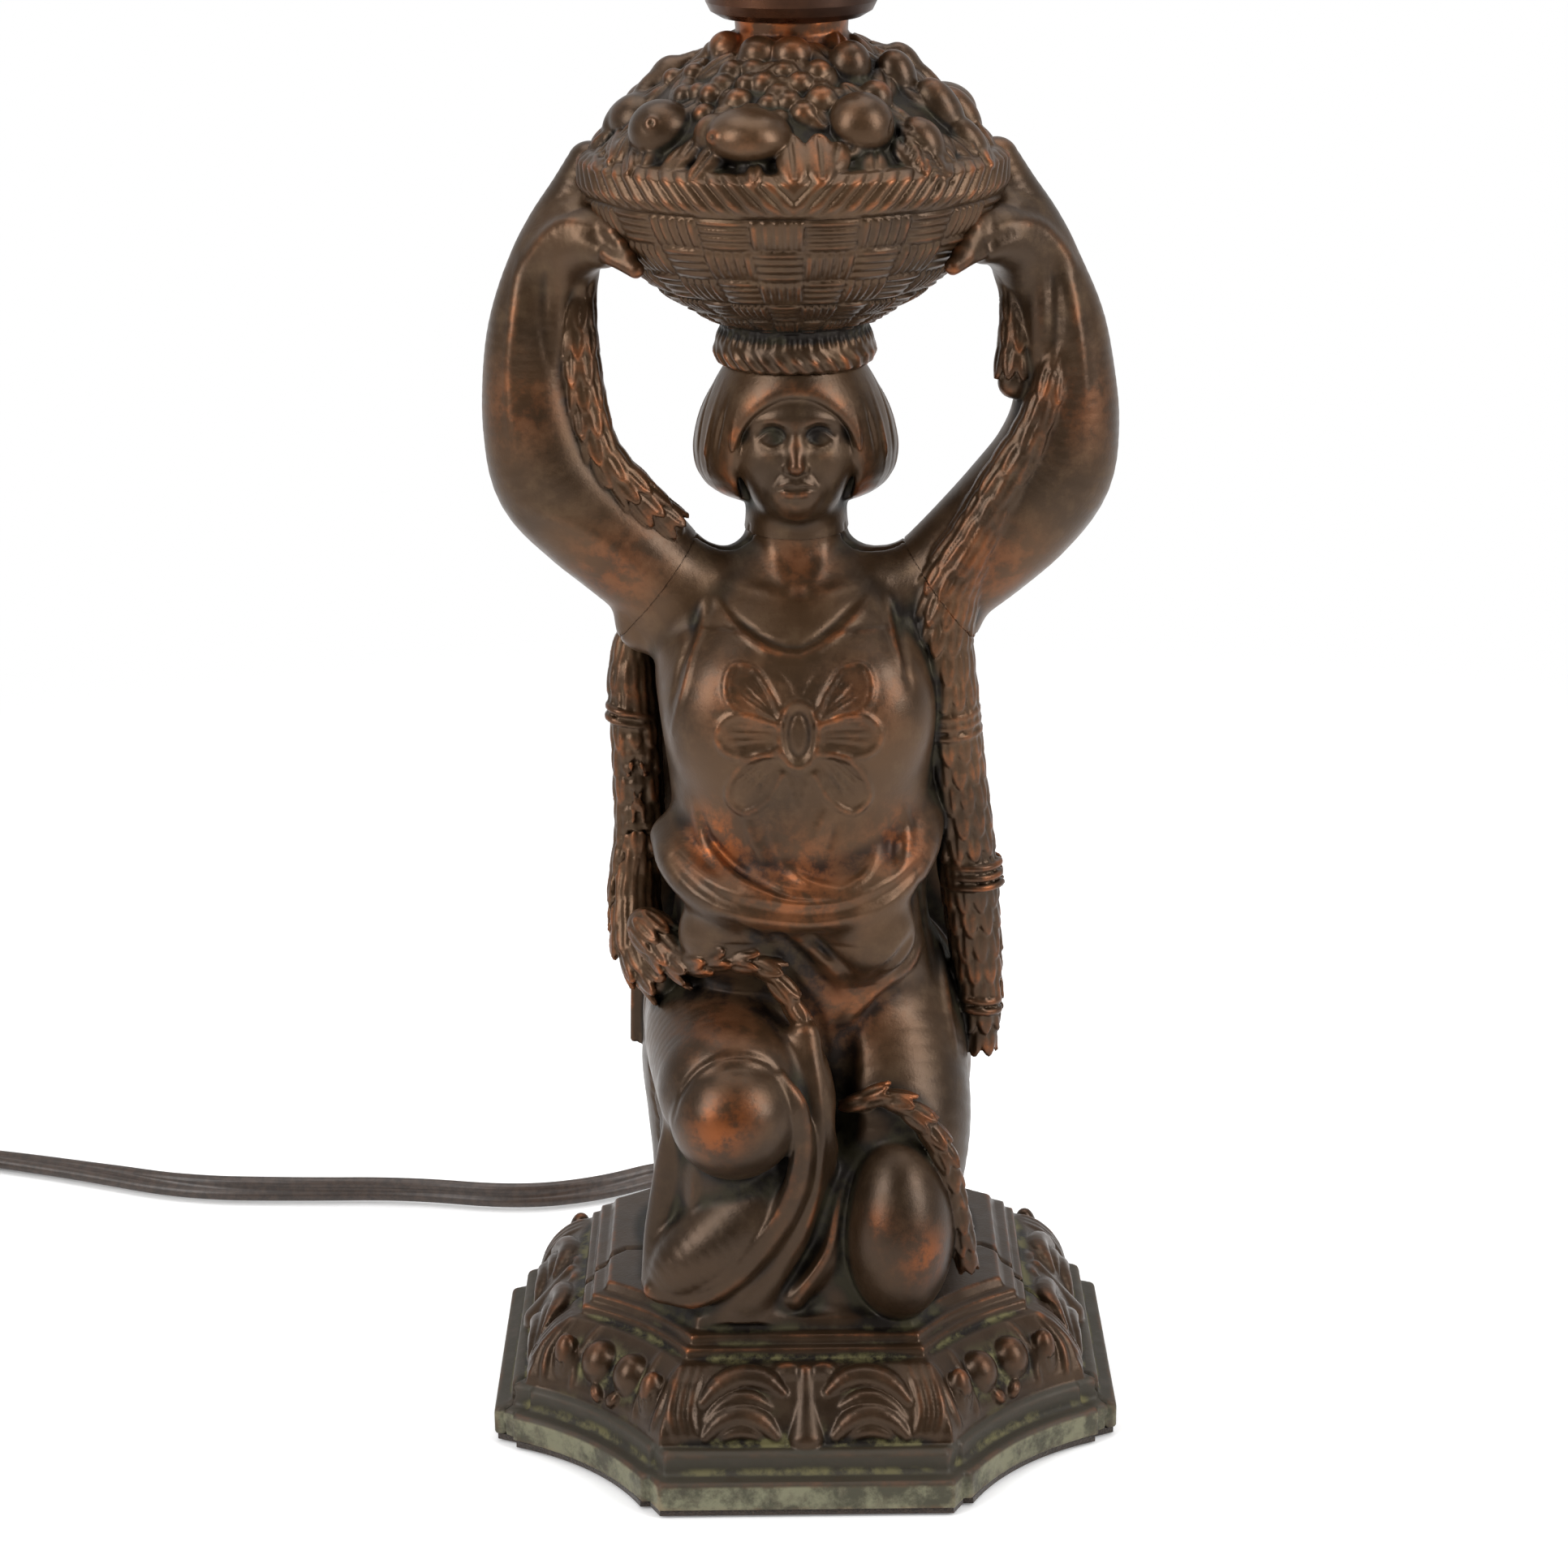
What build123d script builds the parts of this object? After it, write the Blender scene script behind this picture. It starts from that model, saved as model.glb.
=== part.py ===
from build123d import *
import math
import os

# Figural table lamp, millimetres. Origin: middle of the plinth's underside.
# +Z up, -Y towards the figure's front, +X to the right of someone facing it.

# ---------------------------------------------------------------- driving dimensions
PLINTH_WIDTH = 127.0        # across the main faces
FELT_THICK = 1.2
FELT_INSET = 0.6
BAND_TOP = 7.0              # top of the upright band round the foot
TIER_TOP = 12.3             # top of the filleted tier
COVE_TOP = 25.0             # top of the leaf cove
RIDGE_TOP = 29.5            # top of the first moulding
PLINTH_TOP = 31.5           # floor that the figure kneels on
PLINTH_WALL = 3.2
FACE_HALF = 31.0            # half length of a main face at the band
FACE_DRAW = 0.30            # how much a face shortens per millimetre of inset
CORNER_HOLLOW = 3.4         # sagitta of the hollow corner faces
NOTCH = 4.0                 # step between a main face and a corner face

LEDGE = 2.5                 # level step from the band in to the tier
TIER_INSET = 4.8
COVE_INSET = 6.5
COVE_REACH = 11.0           # how far the cove runs in
COVE_BELLY = 0.42           # share of that reach used up at half height
FILLET_STEP = 1.8           # square fillet above the cove
FILLET_THICK = 2.4
RIDGE_INSET = 20.3
FLOOR_INSET = 24.5

CASTING_WALL = 4.0
SEAM_Y = -5.0               # the two halves meet here inside the figure
SEAM_HALF = 37.0            # beyond this the seam runs out to the plinth's corners
SHOULDER_REACH = 24.0       # where the arms are soldered on
SHOULDER_HEIGHT = 178.0
SHOULDER_LEAN = 53.0        # slope of that joint, degrees from level
CAPE_BOTTOM = 73.0
CAPE_TOP = 166.0
CAPE_THICK = 5.0
NECK_TOP = 184.0
HEAD_TOP = 216.5
FRINGE_HEIGHT = 213.0       # upper edge of the opening that the hair leaves
FACE_OPEN = 11.6            # half width of that opening
FACE_FRONT = 7.0            # the hair is cut back from here forward
BASKET_TOP = 251.0
BASKET_FOOT = 13.4
BASKET_MOUTH = 40.5
BASKET_WALL = 2.8
BASKET_FLOOR = 227.0        # bottom of the hollow inside it
RIM_RADIUS = 42.0
RIM_TOP = 258.5
MOUND_TOP = 279.6
LID_NECK = 10.9
LID_TOP = 283.5
LID_CEILING = 275.0         # top of the hollow inside the lid

PIPE_RADIUS = 5.0           # eighth inch lamp pipe
PIPE_WALL = 1.3
PIPE_CLEAR = 0.3
PIPE_STAND = 8.5            # pipe above the fruit lid
PIPE_THREAD = 1.0           # pipe below the bottom nut
WASHER_RADIUS = 12.0
WASHER_THICK = 1.5
NUT_FLATS = 14.0
NUT_THICK = 4.0

CAP_RADIUS = 16.4
CAP_WALL = 0.8
CAP_HEIGHT = 16.5
CAP_EDGE = 3.0
SHELL_HEIGHT = 53.0
SHELL_START = 4.5           # shell's lower edge above the cap's underside
SHELL_CLEAR = 0.05
SHELL_WALL = 0.6
LINER_WALL = 0.5
LINER_SHORT = 1.0           # liner shorter than the shell at each end
BULB_RADIUS = 13.3          # wall of the medium screw shell
SCREW_WALL = 0.5
SCREW_LENGTH = 24.0
CONTACT_WELL = 3.4          # depth of the well that holds the centre contact
BODY_START = 15.0
BODY_HEIGHT = 13.0
BODY_STEP = 0.8             # body narrower than the screw shell
BODY_RIM = 3.0              # wall of the rim round the contact's well
CONTACT_LONG = 10.0         # spring strip under the bulb
CONTACT_WIDE = 4.0
CONTACT_THICK = 0.5
CONTACT_RISE = 2.6          # how far its free end stands up
SCREW_HEAD = 2.2
SCREW_STAND = 1.2
SCREW_LEVEL = 4.0           # terminal screws above the body's underside

SHAFT_RADIUS = 1.5
SHAFT_CLEAR = 0.06
SHAFT_HEIGHT = 21.0         # switch shaft above the cap's underside
SHAFT_SEAT = 6.0            # bottom of the shaft's hole, from the axis
SHAFT_END_PLAY = 0.3
SHAFT_HOLE_CLEAR = 0.7      # round the shaft in the shell and liner
KNOB_RADIUS = 5.6
KNOB_LENGTH = 11.0
KNOB_GAP = 2.2
KNOB_RIBS = 12
KNOB_RIB_DEPTH = 0.5
KNOB_TAPER = 4.0            # degrees

CORD_WIDTH = 5.6
CORD_THICK = 2.8
CORD_BEND = 13.0
CORD_HEIGHT = 8.5           # middle of the bushing above the table
BUSHING_RADIUS = 4.8
BUSHING_FLANGE = 6.0
BUSHING_LIP = 1.5
BUSHING_REACH = 3.0         # bushing past the plinth's wall
SPOT_INSET = 4.5            # flat that the bushing seats on, from the band's face
SPOT_CLEAR = 0.5
CORD_LIFT = 0.1             # cord above the table

COIL_TURNS = 4              # turns in the lower layer; the upper one has one fewer
COIL_MEAN = 33.4
COIL_PITCH = 6.2
COIL_RISE = 3.35
COIL_TAIL = 6.0             # straight end of the coil, up to the plug
TAIL_ALONG = 24.0           # how the tail swings out from the coil, along and outward
TAIL_OUT = 18.0
TAIL_TURN = 75.0
PLUG_LENGTH = 26.0
PLUG_WIDTH = 21.0
PLUG_THICK = 9.8
PLUG_WAIST = 0.45           # share of the length and width where the back tapers in
PLUG_BACK_THICK = 7.84
PLUG_ROUND = 3.0
PLUG_BACK_ROUND = 2.0
BLADE_LENGTH = 15.9
BLADE_WIDTH = 6.35
BLADE_THICK = 1.5
BLADE_SPACING = 12.7

half_width = PLINTH_WIDTH / 2
bore_radius = PIPE_RADIUS + PIPE_CLEAR
os.makedirs("parts", exist_ok=True)


def finish(block, name):
    """Labels a finished piece and writes it."""
    block.part.label = name
    export_step(block.part, f"parts/{name}.step")


# ---------------------------------------------------------------- shape helpers
def spun(x, y, quarter):
    """A plan point turned through a number of quarter turns."""
    return Vector(x, y, 0).rotate(Axis.Z, 90 * quarter)


def octagon(height, inset):
    """Plan of the plinth at one level: four main faces and four hollow corner faces."""
    reach = half_width - inset
    half = FACE_HALF - FACE_DRAW * inset
    with BuildSketch(Plane.XY.offset(height)) as plan:
        with BuildLine():
            for quarter in range(4):
                face_end = spun(reach, half, quarter)
                corner_end = spun(half, reach, quarter)
                SagittaArc(face_end, corner_end, CORNER_HOLLOW)
                Line(corner_end, spun(-half, reach, quarter))
        make_face()
    return plan.sketch


def notched_octagon(height, inset):
    """The same plan with the small stepped notches at the ends of the main faces."""
    reach = half_width - inset
    half = FACE_HALF - FACE_DRAW * inset
    step = NOTCH / 2
    with BuildSketch(Plane.XY.offset(height)) as plan:
        with BuildLine():
            for quarter in range(4):
                face_end = spun(reach, half - step, quarter)
                arc_start = spun(reach - NOTCH, half + step, quarter)
                arc_end = spun(half + step, reach - NOTCH, quarter)
                face_start = spun(half - step, reach, quarter)
                Polyline(face_end, spun(reach - NOTCH, half, quarter), arc_start)
                SagittaArc(arc_start, arc_end, CORNER_HOLLOW)
                Polyline(arc_end, spun(half, reach - NOTCH, quarter), face_start)
                Line(face_start, spun(step - half, reach, quarter))
        make_face()
    return plan.sketch


def oval(plane, across, deep, x=0.0, y=0.0, sides=12):
    """An oval section with a number of flats, the first one centred on its +X side."""
    angles = [math.radians((i + 0.5) * 360 / sides) for i in range(sides)]
    swell = 1 / math.cos(math.pi / sides) ** 0.5
    with BuildSketch(plane) as section:
        with BuildLine():
            Polyline(
                [
                    (x + swell * across * math.cos(a), y + swell * deep * math.sin(a))
                    for a in angles
                ],
                close=True,
            )
        make_face()
    return section.sketch


def level_ovals(stations, sides=16, mode=Mode.ADD):
    """Skins level ovals given as (height, x, y, half width, half depth)."""
    sections = [
        oval(Plane.XY.offset(height), across, deep, x, y, sides)
        for height, x, y, across, deep in stations
    ]
    loft(sections, ruled=True, clean=False, mode=mode)


def limb(stations, flat=1.0, sides=10):
    """Skins round sections along a line of points given as (x, y, z, radius).

    flat squeezes each section across the front-to-back direction."""
    points = [Vector(*s[:3]) for s in stations]
    last = len(points) - 1
    sections = []
    for i, point in enumerate(points):
        ahead = (points[min(i + 1, last)] - points[max(i - 1, 0)]).normalized()
        front = Vector(0, 0, 1) if abs(ahead.Y) > 0.8 else Vector(0, 1, 0)
        side = front - ahead * ahead.dot(front)
        plane = Plane(origin=point, x_dir=side, z_dir=ahead)
        sections.append(oval(plane, stations[i][3] * flat, stations[i][3], sides=sides))
    loft(sections, ruled=True, clean=False)


# ---------------------------------------------------------------- plinth
with BuildPart() as felt_pad:
    extrude(notched_octagon(0, FELT_INSET), amount=FELT_THICK)
finish(felt_pad, "felt_pad")

with BuildPart() as plinth:
    extrude(notched_octagon(FELT_THICK, 0), amount=BAND_TOP - FELT_THICK)
    loft([notched_octagon(BAND_TOP, LEDGE), notched_octagon(TIER_TOP, TIER_INSET)], ruled=True)
    loft(
        [
            octagon(TIER_TOP, COVE_INSET),
            octagon((TIER_TOP + COVE_TOP) / 2, COVE_INSET + COVE_REACH * COVE_BELLY),
            octagon(COVE_TOP, COVE_INSET + COVE_REACH),
        ],
        ruled=True,
    )
    extrude(octagon(COVE_TOP, COVE_INSET + COVE_REACH + FILLET_STEP), amount=FILLET_THICK)
    fillet_top = COVE_TOP + FILLET_THICK
    extrude(octagon(fillet_top, RIDGE_INSET), amount=RIDGE_TOP - fillet_top)
    extrude(octagon(RIDGE_TOP, FLOOR_INSET), amount=PLINTH_TOP - RIDGE_TOP)
    # hollow underside, closed by the felt
    loft(
        [
            octagon(FELT_THICK, NOTCH + PLINTH_WALL),
            octagon(TIER_TOP - PLINTH_WALL, COVE_INSET + PLINTH_WALL),
            octagon(PLINTH_TOP - PLINTH_WALL, FLOOR_INSET + PLINTH_WALL),
        ],
        ruled=True,
        mode=Mode.SUBTRACT,
    )

# ---------------------------------------------------------------- kneeling figure
# Stations are (height, x, y, half width, half depth) for upright forms and
# (x, y, z, radius) along limbs.
trunk = [
    (PLINTH_TOP, 0, 0, 33, 35),
    (46, 0, 1, 32.6, 33),
    (60, 1, 2, 33.4, 31.5),
    (75, 1, 3, 33.6, 29.5),
    (88, 0, 0, 31.4, 27.5),
    (98, 0, -5, 28.4, 25),
    (104, 0, -8, 26.2, 21.5),
    (109, 0, -9.3, 27.4, 23),
    (117, 0.4, -10, 25.8, 21.8),
    (128, 0.7, -10.5, 26.2, 21.5),
    (140, 0.4, -11, 27.2, 22.4),
    (152, -0.4, -10.5, 28.2, 22),
    (163, 0, -8.5, 28, 20),
    (171, 0, -5, 24, 16.5),
    (177, 0, -1.5, 16.5, 13),
    (181, 0, -0.3, 11.8, 11.8),
    (NECK_TOP, 0, -0.5, 10.4, 10.9),
]
trunk_hollow = [
    (PLINTH_TOP + CASTING_WALL, 0, 0, 28, 29),
    (75, 1, 3, 29, 25),
    (98, 0, -5, 23.5, 20),
    (128, 0.4, -10, 21, 16.5),
    (152, 0, -9.5, 22, 17),
    (167, 0, -5.5, 15, 11),
]
raised_thigh = [
    (-14, 4, 75, 18.5),
    (-14.6, -15, 76, 16.8),
    (-14.2, -28, 76.6, 14.6),
    (-13.6, -37, 77, 13),
    (-13.5, -44, 77, 11.2),
    (-13.5, -48.5, 77, 8),
    (-13.5, -51.2, 77, 3.6),
]
shin_drape = [
    (PLINTH_TOP, -14.5, -20, 17.5, 21.5),
    (40, -15, -21, 17, 20.5),
    (50, -15.5, -21, 15.8, 18),
    (60, -15, -22, 14.4, 18.5),
    (70, -14.4, -22, 13.6, 21.5),
]
low_thigh = [
    (14, 4, 80, 18.5),
    (16, -10, 71, 17),
    (18.4, -22, 61, 14.5),
]
low_knee = [
    (PLINTH_TOP, 19, -28, 7, 9),
    (36, 19, -29.5, 9, 12),
    (43, 19, -30, 11, 14),
    (51, 19, -30, 11.8, 14.6),
    (58, 18.8, -29.5, 11.2, 13.6),
    (64, 18.6, -28.5, 8.6, 11),
    (68.4, 18.5, -27.5, 4, 6),
]
left_garland = [
    (-32.5, 5, 168, 3),
    (-34, 4, 158, 4.6),
    (-33.4, 2, 140, 5),
    (-33.2, 1, 123, 5),
    (-34.4, -1, 110, 5.4),
    (-34, -5, 100, 5.4),
    (-30, -12, 94.5, 5),
    (-21, -20, 95.5, 4.6),
    (-10, -28, 94.5, 4.4),
    (-2, -34.5, 88, 3.8),
    (2, -37, 78, 3.4),
    (4, -36, 69, 3.2),
    (12, -36.5, 65.5, 3.8),
    (21, -36, 65, 4.2),
    (28, -32.5, 57, 4.2),
    (31, -31.5, 45, 4),
    (31.5, -32, 35, 3.4),
]
right_garland = [
    (41.5, -4, 205, 4.6),
    (41, -6, 196, 5.6),
    (36, -9, 186, 6.2),
    (31, -10, 177, 6.6),
    (28, -11, 168, 6.6),
    (28.6, -11, 155, 6.6),
    (30, -9.5, 140, 6.4),
    (32, -8.5, 125, 6.2),
    (33.6, -7.5, 112, 5.8),
    (35, -6.5, 100, 5.2),
    (36, -6.5, 90, 4.6),
    (36.6, -7, 80, 3),
]
left_limb = [
    (-18, -4, 166, 11),
    (-28, -4, 176, 10.6),
    (-34, -4, 182.6, 11.6),
    (-40.5, -4, 188.5, 12.6),
    (-46.4, -4.5, 195.2, 13),
    (-49.6, -5, 204, 11.6),
    (-50.9, -5, 214, 9.8),
    (-50.7, -5, 224, 8.7),
    (-48.6, -4.5, 234, 7.6),
    (-44.6, -3.5, 243, 7.2),
    (-40.4, -2, 250, 6.6),
    (-38, -1, 256, 4.6),
]
right_limb = [
    (18, -4, 165, 11),
    (29, -4, 174.5, 10.8),
    (37, -4, 181.5, 11.8),
    (44, -4, 188.5, 12.6),
    (49.6, -4.5, 196, 12.4),
    (52.2, -5, 205, 10.8),
    (52.6, -5, 215, 9.6),
    (51.4, -5, 225, 8.7),
    (48.6, -4.5, 234, 7.6),
    (44.6, -3.5, 243, 7.2),
    (40.4, -2, 250, 6.6),
    (38, -1, 256, 4.6),
]
# the laurel that lies along the inside of the viewer's left arm, mirrored on the other
forearm_garland = [
    (-42, -5, 238, 3),
    (-43.4, -9, 226, 3.8),
    (-42.4, -11, 212, 4),
    (-38.6, -12, 202.5, 4),
    (-31, -11, 194, 3.8),
    (-23.6, -9, 186.4, 3),
]
hand = [
    (-46, -6, 237, 6.4),
    (-42, -11, 242, 6),
    (-37.6, -15, 245, 5),
    (-33.6, -18.6, 245.6, 3.4),
]


def cape(height, left, right, side_y, back_y):
    """Plan of the cloth that hangs behind the figure at one level, drawn in flats."""
    flats = 8
    span = [i / flats for i in range(flats + 1)]
    curve = [
        (left + (right - left) * t, side_y + (back_y - side_y) * math.sin(math.pi * t) ** 0.7)
        for t in span
    ]
    with BuildSketch(Plane.XY.offset(height)) as plan:
        with BuildLine():
            Polyline(curve + [(x, y - CAPE_THICK) for x, y in reversed(curve)], close=True)
        make_face()
    return plan.sketch


def ball(x, y, z, across, tall, sides=8):
    """A fruit: a round form in flats, wider or taller as its two radii say."""
    rings = [-50, -18, 18, 50, 76]
    level_ovals(
        [
            (
                z + tall * math.sin(math.radians(a)),
                x,
                y,
                across * math.cos(math.radians(a)),
                across * math.cos(math.radians(a)),
            )
            for a in rings
        ],
        sides=sides,
    )


def ring(inner, outer, low, high, mode=Mode.ADD):
    """A level ring about the lamp's axis."""
    with BuildSketch(Plane.XY.offset(low)) as plan:
        Circle(outer)
        if inner > 0:
            Circle(inner, mode=Mode.SUBTRACT)
    extrude(plan.sketch, amount=high - low, mode=mode)


def turned(profile, mode=Mode.ADD):
    """Turns a closed profile, given as (radius, height), about the lamp's axis."""
    with BuildSketch(Plane.XZ) as section:
        with BuildLine():
            Polyline(profile, close=True)
        make_face()
    revolve(section.sketch, Axis.Z, mode=mode)


with BuildPart() as figure:
    add(plinth)
    level_ovals(trunk, sides=24)
    limb(raised_thigh, sides=12)
    level_ovals(shin_drape, sides=14)
    limb(low_thigh, sides=12)
    level_ovals(low_knee, sides=12)
    loft([cape(CAPE_BOTTOM, -34, 41.5, 11, 35), cape(CAPE_TOP, -29, 31, 9, 14)], ruled=True)
    limb(left_garland, sides=8)
    limb(right_garland, sides=8)
    limb(left_limb, flat=0.92, sides=14)
    limb(right_limb, flat=0.92, sides=14)
    for side in (-1, 1):
        limb([(-side * x, y, z, r) for x, y, z, r in forearm_garland], sides=8)
        limb([(-side * x, y, z, r) for x, y, z, r in hand], sides=10)

lean = math.radians(SHOULDER_LEAN)
shoulder_planes = [
    Plane(
        origin=(side * SHOULDER_REACH, 0, SHOULDER_HEIGHT),
        z_dir=(side * math.sin(lean), 0, math.cos(lean)),
    )
    for side in (-1, 1)
]

with BuildPart() as body:
    add(figure)
    level_ovals(trunk_hollow, sides=12, mode=Mode.SUBTRACT)
    ring(0, bore_radius, PLINTH_TOP - 2 * PLINTH_WALL, NECK_TOP, mode=Mode.SUBTRACT)
    for plane in shoulder_planes:
        split(bisect_by=plane, keep=Keep.BOTTOM)
    # spot-faced hole for the cord's bushing in the back of the foot
    with BuildSketch(Plane.XZ.offset(-half_width - 1)) as spot:
        with Locations((0, CORD_HEIGHT)):
            Circle(BUSHING_FLANGE + SPOT_CLEAR)
    extrude(spot.sketch, amount=SPOT_INSET + 1, mode=Mode.SUBTRACT)
    with BuildSketch(Plane.XZ.offset(-half_width)) as cord_hole:
        with Locations((0, CORD_HEIGHT)):
            Circle(BUSHING_RADIUS)
    extrude(cord_hole.sketch, amount=half_width - FACE_HALF, mode=Mode.SUBTRACT)

with BuildSketch(Plane.XY) as front_region:
    with BuildLine():
        out = PLINTH_WIDTH
        back_off = SEAM_Y - (out - SEAM_HALF)
        Polyline(
            (out, -out), (out, back_off), (SEAM_HALF, SEAM_Y),
            (-SEAM_HALF, SEAM_Y), (-out, back_off), (-out, -out),
            close=True,
        )
    make_face()

with BuildPart() as front_casting:
    add(body)
    extrude(front_region.sketch, amount=LID_TOP, mode=Mode.INTERSECT)
finish(front_casting, "front_casting")

with BuildPart() as back_casting:
    add(body)
    extrude(front_region.sketch, amount=LID_TOP, mode=Mode.SUBTRACT)
finish(back_casting, "back_casting")

# ---------------------------------------------------------------- basket and fruit lid
basket_outline = [
    (BASKET_FOOT, HEAD_TOP),
    (15.4, HEAD_TOP + 1.6),
    (15.8, HEAD_TOP + 4),
    (15, HEAD_TOP + 7),
    (14.2, HEAD_TOP + 8.6),
    (19.6, 228.4),
    (26, 232.4),
    (32, 237.6),
    (36.8, 243.6),
    (BASKET_MOUTH, BASKET_TOP),
]
basket_cavity = [
    (10.5, BASKET_FLOOR),
    (22, 233.4),
    (32, 242.4),
    (BASKET_MOUTH - BASKET_WALL, BASKET_TOP),
]
rim_outline = [
    (0, BASKET_TOP),
    (BASKET_MOUTH, BASKET_TOP),
    (RIM_RADIUS, BASKET_TOP + 2.5),
    (RIM_RADIUS - 0.6, RIM_TOP),
    (37.5, RIM_TOP + 1),
    (0, RIM_TOP + 1),
]
# the mound under the fruit and the hollow inside it, as (height, radius)
mound = [(RIM_TOP + 1, 37.5), (264, 33.6), (270, 28), (275, 21), (278.4, 13.5), (MOUND_TOP, 11.6)]
lid_cavity = [
    (BASKET_TOP, BASKET_MOUTH - BASKET_WALL),
    (RIM_TOP, 35.4),
    (265, 30),
    (271.8, 20),
    (LID_CEILING, 9.5),
]
# fruit as (bearing from the front, distance from the axis, height, radius across, radius up)
fruits = [
    (24, 27.5, 264, 7.4, 7.4),
    (33, 15.5, 273, 5.2, 5.6),
    (56, 21.5, 270, 4.4, 5.8),
    (60, 28.5, 264.5, 5.6, 6.8),
    (-12, 29, 262.5, 7.6, 5.6),
    (-47, 29, 262, 6.8, 6.2),
    (-21, 22.5, 270.5, 4.2, 3.6),
    (-41, 23.5, 269.5, 4.4, 3.6),
    (-8, 15, 276, 4.4, 4),
    (5, 24, 270.5, 3.6, 3.4),
    (-82, 26, 265, 7.4, 5.8),
    (96, 27, 264.5, 7.4, 6.4),
    (-118, 27, 264, 7, 6.6),
    (128, 27.5, 264, 7.2, 6.6),
    (-152, 27, 264, 7.4, 6.4),
    (163, 26.5, 264, 7, 6.2),
    (-105, 17, 272.5, 5, 4.4),
    (80, 16, 273, 5, 4.6),
    (140, 16.5, 273, 5.2, 4.6),
    (-165, 16.5, 273, 5, 4.4),
]

with BuildPart() as basket:
    turned(basket_outline + [(0, BASKET_TOP), (0, HEAD_TOP)])
    turned(basket_cavity + [(0, BASKET_TOP), (0, BASKET_FLOOR)], mode=Mode.SUBTRACT)
    ring(0, bore_radius, HEAD_TOP, BASKET_TOP, mode=Mode.SUBTRACT)
finish(basket, "basket")

with BuildPart() as fruit_lid:
    turned(rim_outline)
    level_ovals([(height, 0, 0, radius, radius) for height, radius in mound], sides=24)
    ring(0, LID_NECK, LID_CEILING, LID_TOP)
    for bearing, away, height, across, tall in fruits:
        turn = math.radians(bearing)
        ball(away * math.sin(turn), -away * math.cos(turn), height, across, tall)
    level_ovals(
        [(height, 0, 0, radius, radius) for height, radius in lid_cavity],
        sides=16,
        mode=Mode.SUBTRACT,
    )
    ring(0, bore_radius, BASKET_TOP, LID_TOP, mode=Mode.SUBTRACT)
finish(fruit_lid, "fruit_lid")

for name, plane in zip(("left_arm", "right_arm"), shoulder_planes):
    with BuildPart() as arm:
        add(figure)
        split(bisect_by=plane, keep=Keep.TOP)
        turned(basket_outline + [(0, BASKET_TOP), (0, HEAD_TOP)], mode=Mode.SUBTRACT)
        turned(rim_outline, mode=Mode.SUBTRACT)
    finish(arm, name)

# ---------------------------------------------------------------- head
face_ovals = [
    (NECK_TOP, 0, -0.5, 10.4, 10.9),
    (187.5, 0, -4.4, 10.2, 12.6),
    (190.5, 0, -6.4, 10.8, 13),
    (196, 0, -6, 12.4, 14),
    (202, 0, -5, 13.4, 15),
    (208, 0, -4, 13.6, 15.8),
    (213, 0, -3, 12.6, 15),
    (HEAD_TOP, 0, -2, 11, 13),
]
hair_ovals = [
    (189, 0, 3, 13.6, 11.5),
    (193, 0, 2.6, 18.6, 15.4),
    (199, 0, 2, 20, 17.4),
    (206, 0, 1, 19.2, 18),
    (212, 0, 0, 16.6, 16.6),
    (HEAD_TOP, 0, -0.5, 13.6, 13.8),
]

with BuildPart() as head:
    level_ovals(hair_ovals, sides=20)
    with BuildSketch(Plane.XZ.offset(FACE_FRONT)) as opening:
        with Locations((0, NECK_TOP)):
            Ellipse(FACE_OPEN, FRINGE_HEIGHT - NECK_TOP)
    extrude(opening.sketch, amount=RIM_RADIUS, mode=Mode.SUBTRACT)
    level_ovals(face_ovals, sides=20)
    ring(0, bore_radius, NECK_TOP, HEAD_TOP, mode=Mode.SUBTRACT)
finish(head, "head")

# ---------------------------------------------------------------- lamp pipe and its nuts
pipe_low = PLINTH_TOP - PLINTH_WALL - WASHER_THICK - NUT_THICK - PIPE_THREAD
pipe_high = LID_TOP + PIPE_STAND
pipe_inner = PIPE_RADIUS - PIPE_WALL

with BuildPart() as lamp_pipe:
    ring(pipe_inner, PIPE_RADIUS, pipe_low, pipe_high)
finish(lamp_pipe, "lamp_pipe")

with BuildPart() as bottom_washer:
    washer_top = PLINTH_TOP - PLINTH_WALL
    ring(PIPE_RADIUS, WASHER_RADIUS, washer_top - WASHER_THICK, washer_top)
finish(bottom_washer, "bottom_washer")


def hex_nut(low):
    """A hexagon nut on the lamp pipe."""
    with BuildSketch(Plane.XY.offset(low)) as plan:
        RegularPolygon(NUT_FLATS / 2, 6, major_radius=False)
        Circle(PIPE_RADIUS, mode=Mode.SUBTRACT)
    extrude(plan.sketch, amount=NUT_THICK)


with BuildPart() as bottom_nut:
    hex_nut(washer_top - WASHER_THICK - NUT_THICK)
finish(bottom_nut, "bottom_nut")

with BuildPart() as top_nut:
    hex_nut(LID_TOP + CAP_WALL)
finish(top_nut, "top_nut")

# ---------------------------------------------------------------- socket
cap_inner = CAP_RADIUS - CAP_WALL
shell_radius = cap_inner - SHELL_CLEAR
shell_inner = shell_radius - SHELL_WALL
liner_inner = shell_inner - LINER_WALL - SHELL_CLEAR
screw_outer = BULB_RADIUS + SCREW_WALL
shell_low = LID_TOP + SHELL_START
shell_high = shell_low + SHELL_HEIGHT
body_low = LID_TOP + BODY_START
body_high = body_low + BODY_HEIGHT
screw_low = body_high + CONTACT_WELL
shaft_z = LID_TOP + SHAFT_HEIGHT
body_radius = BULB_RADIUS - BODY_STEP

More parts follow.
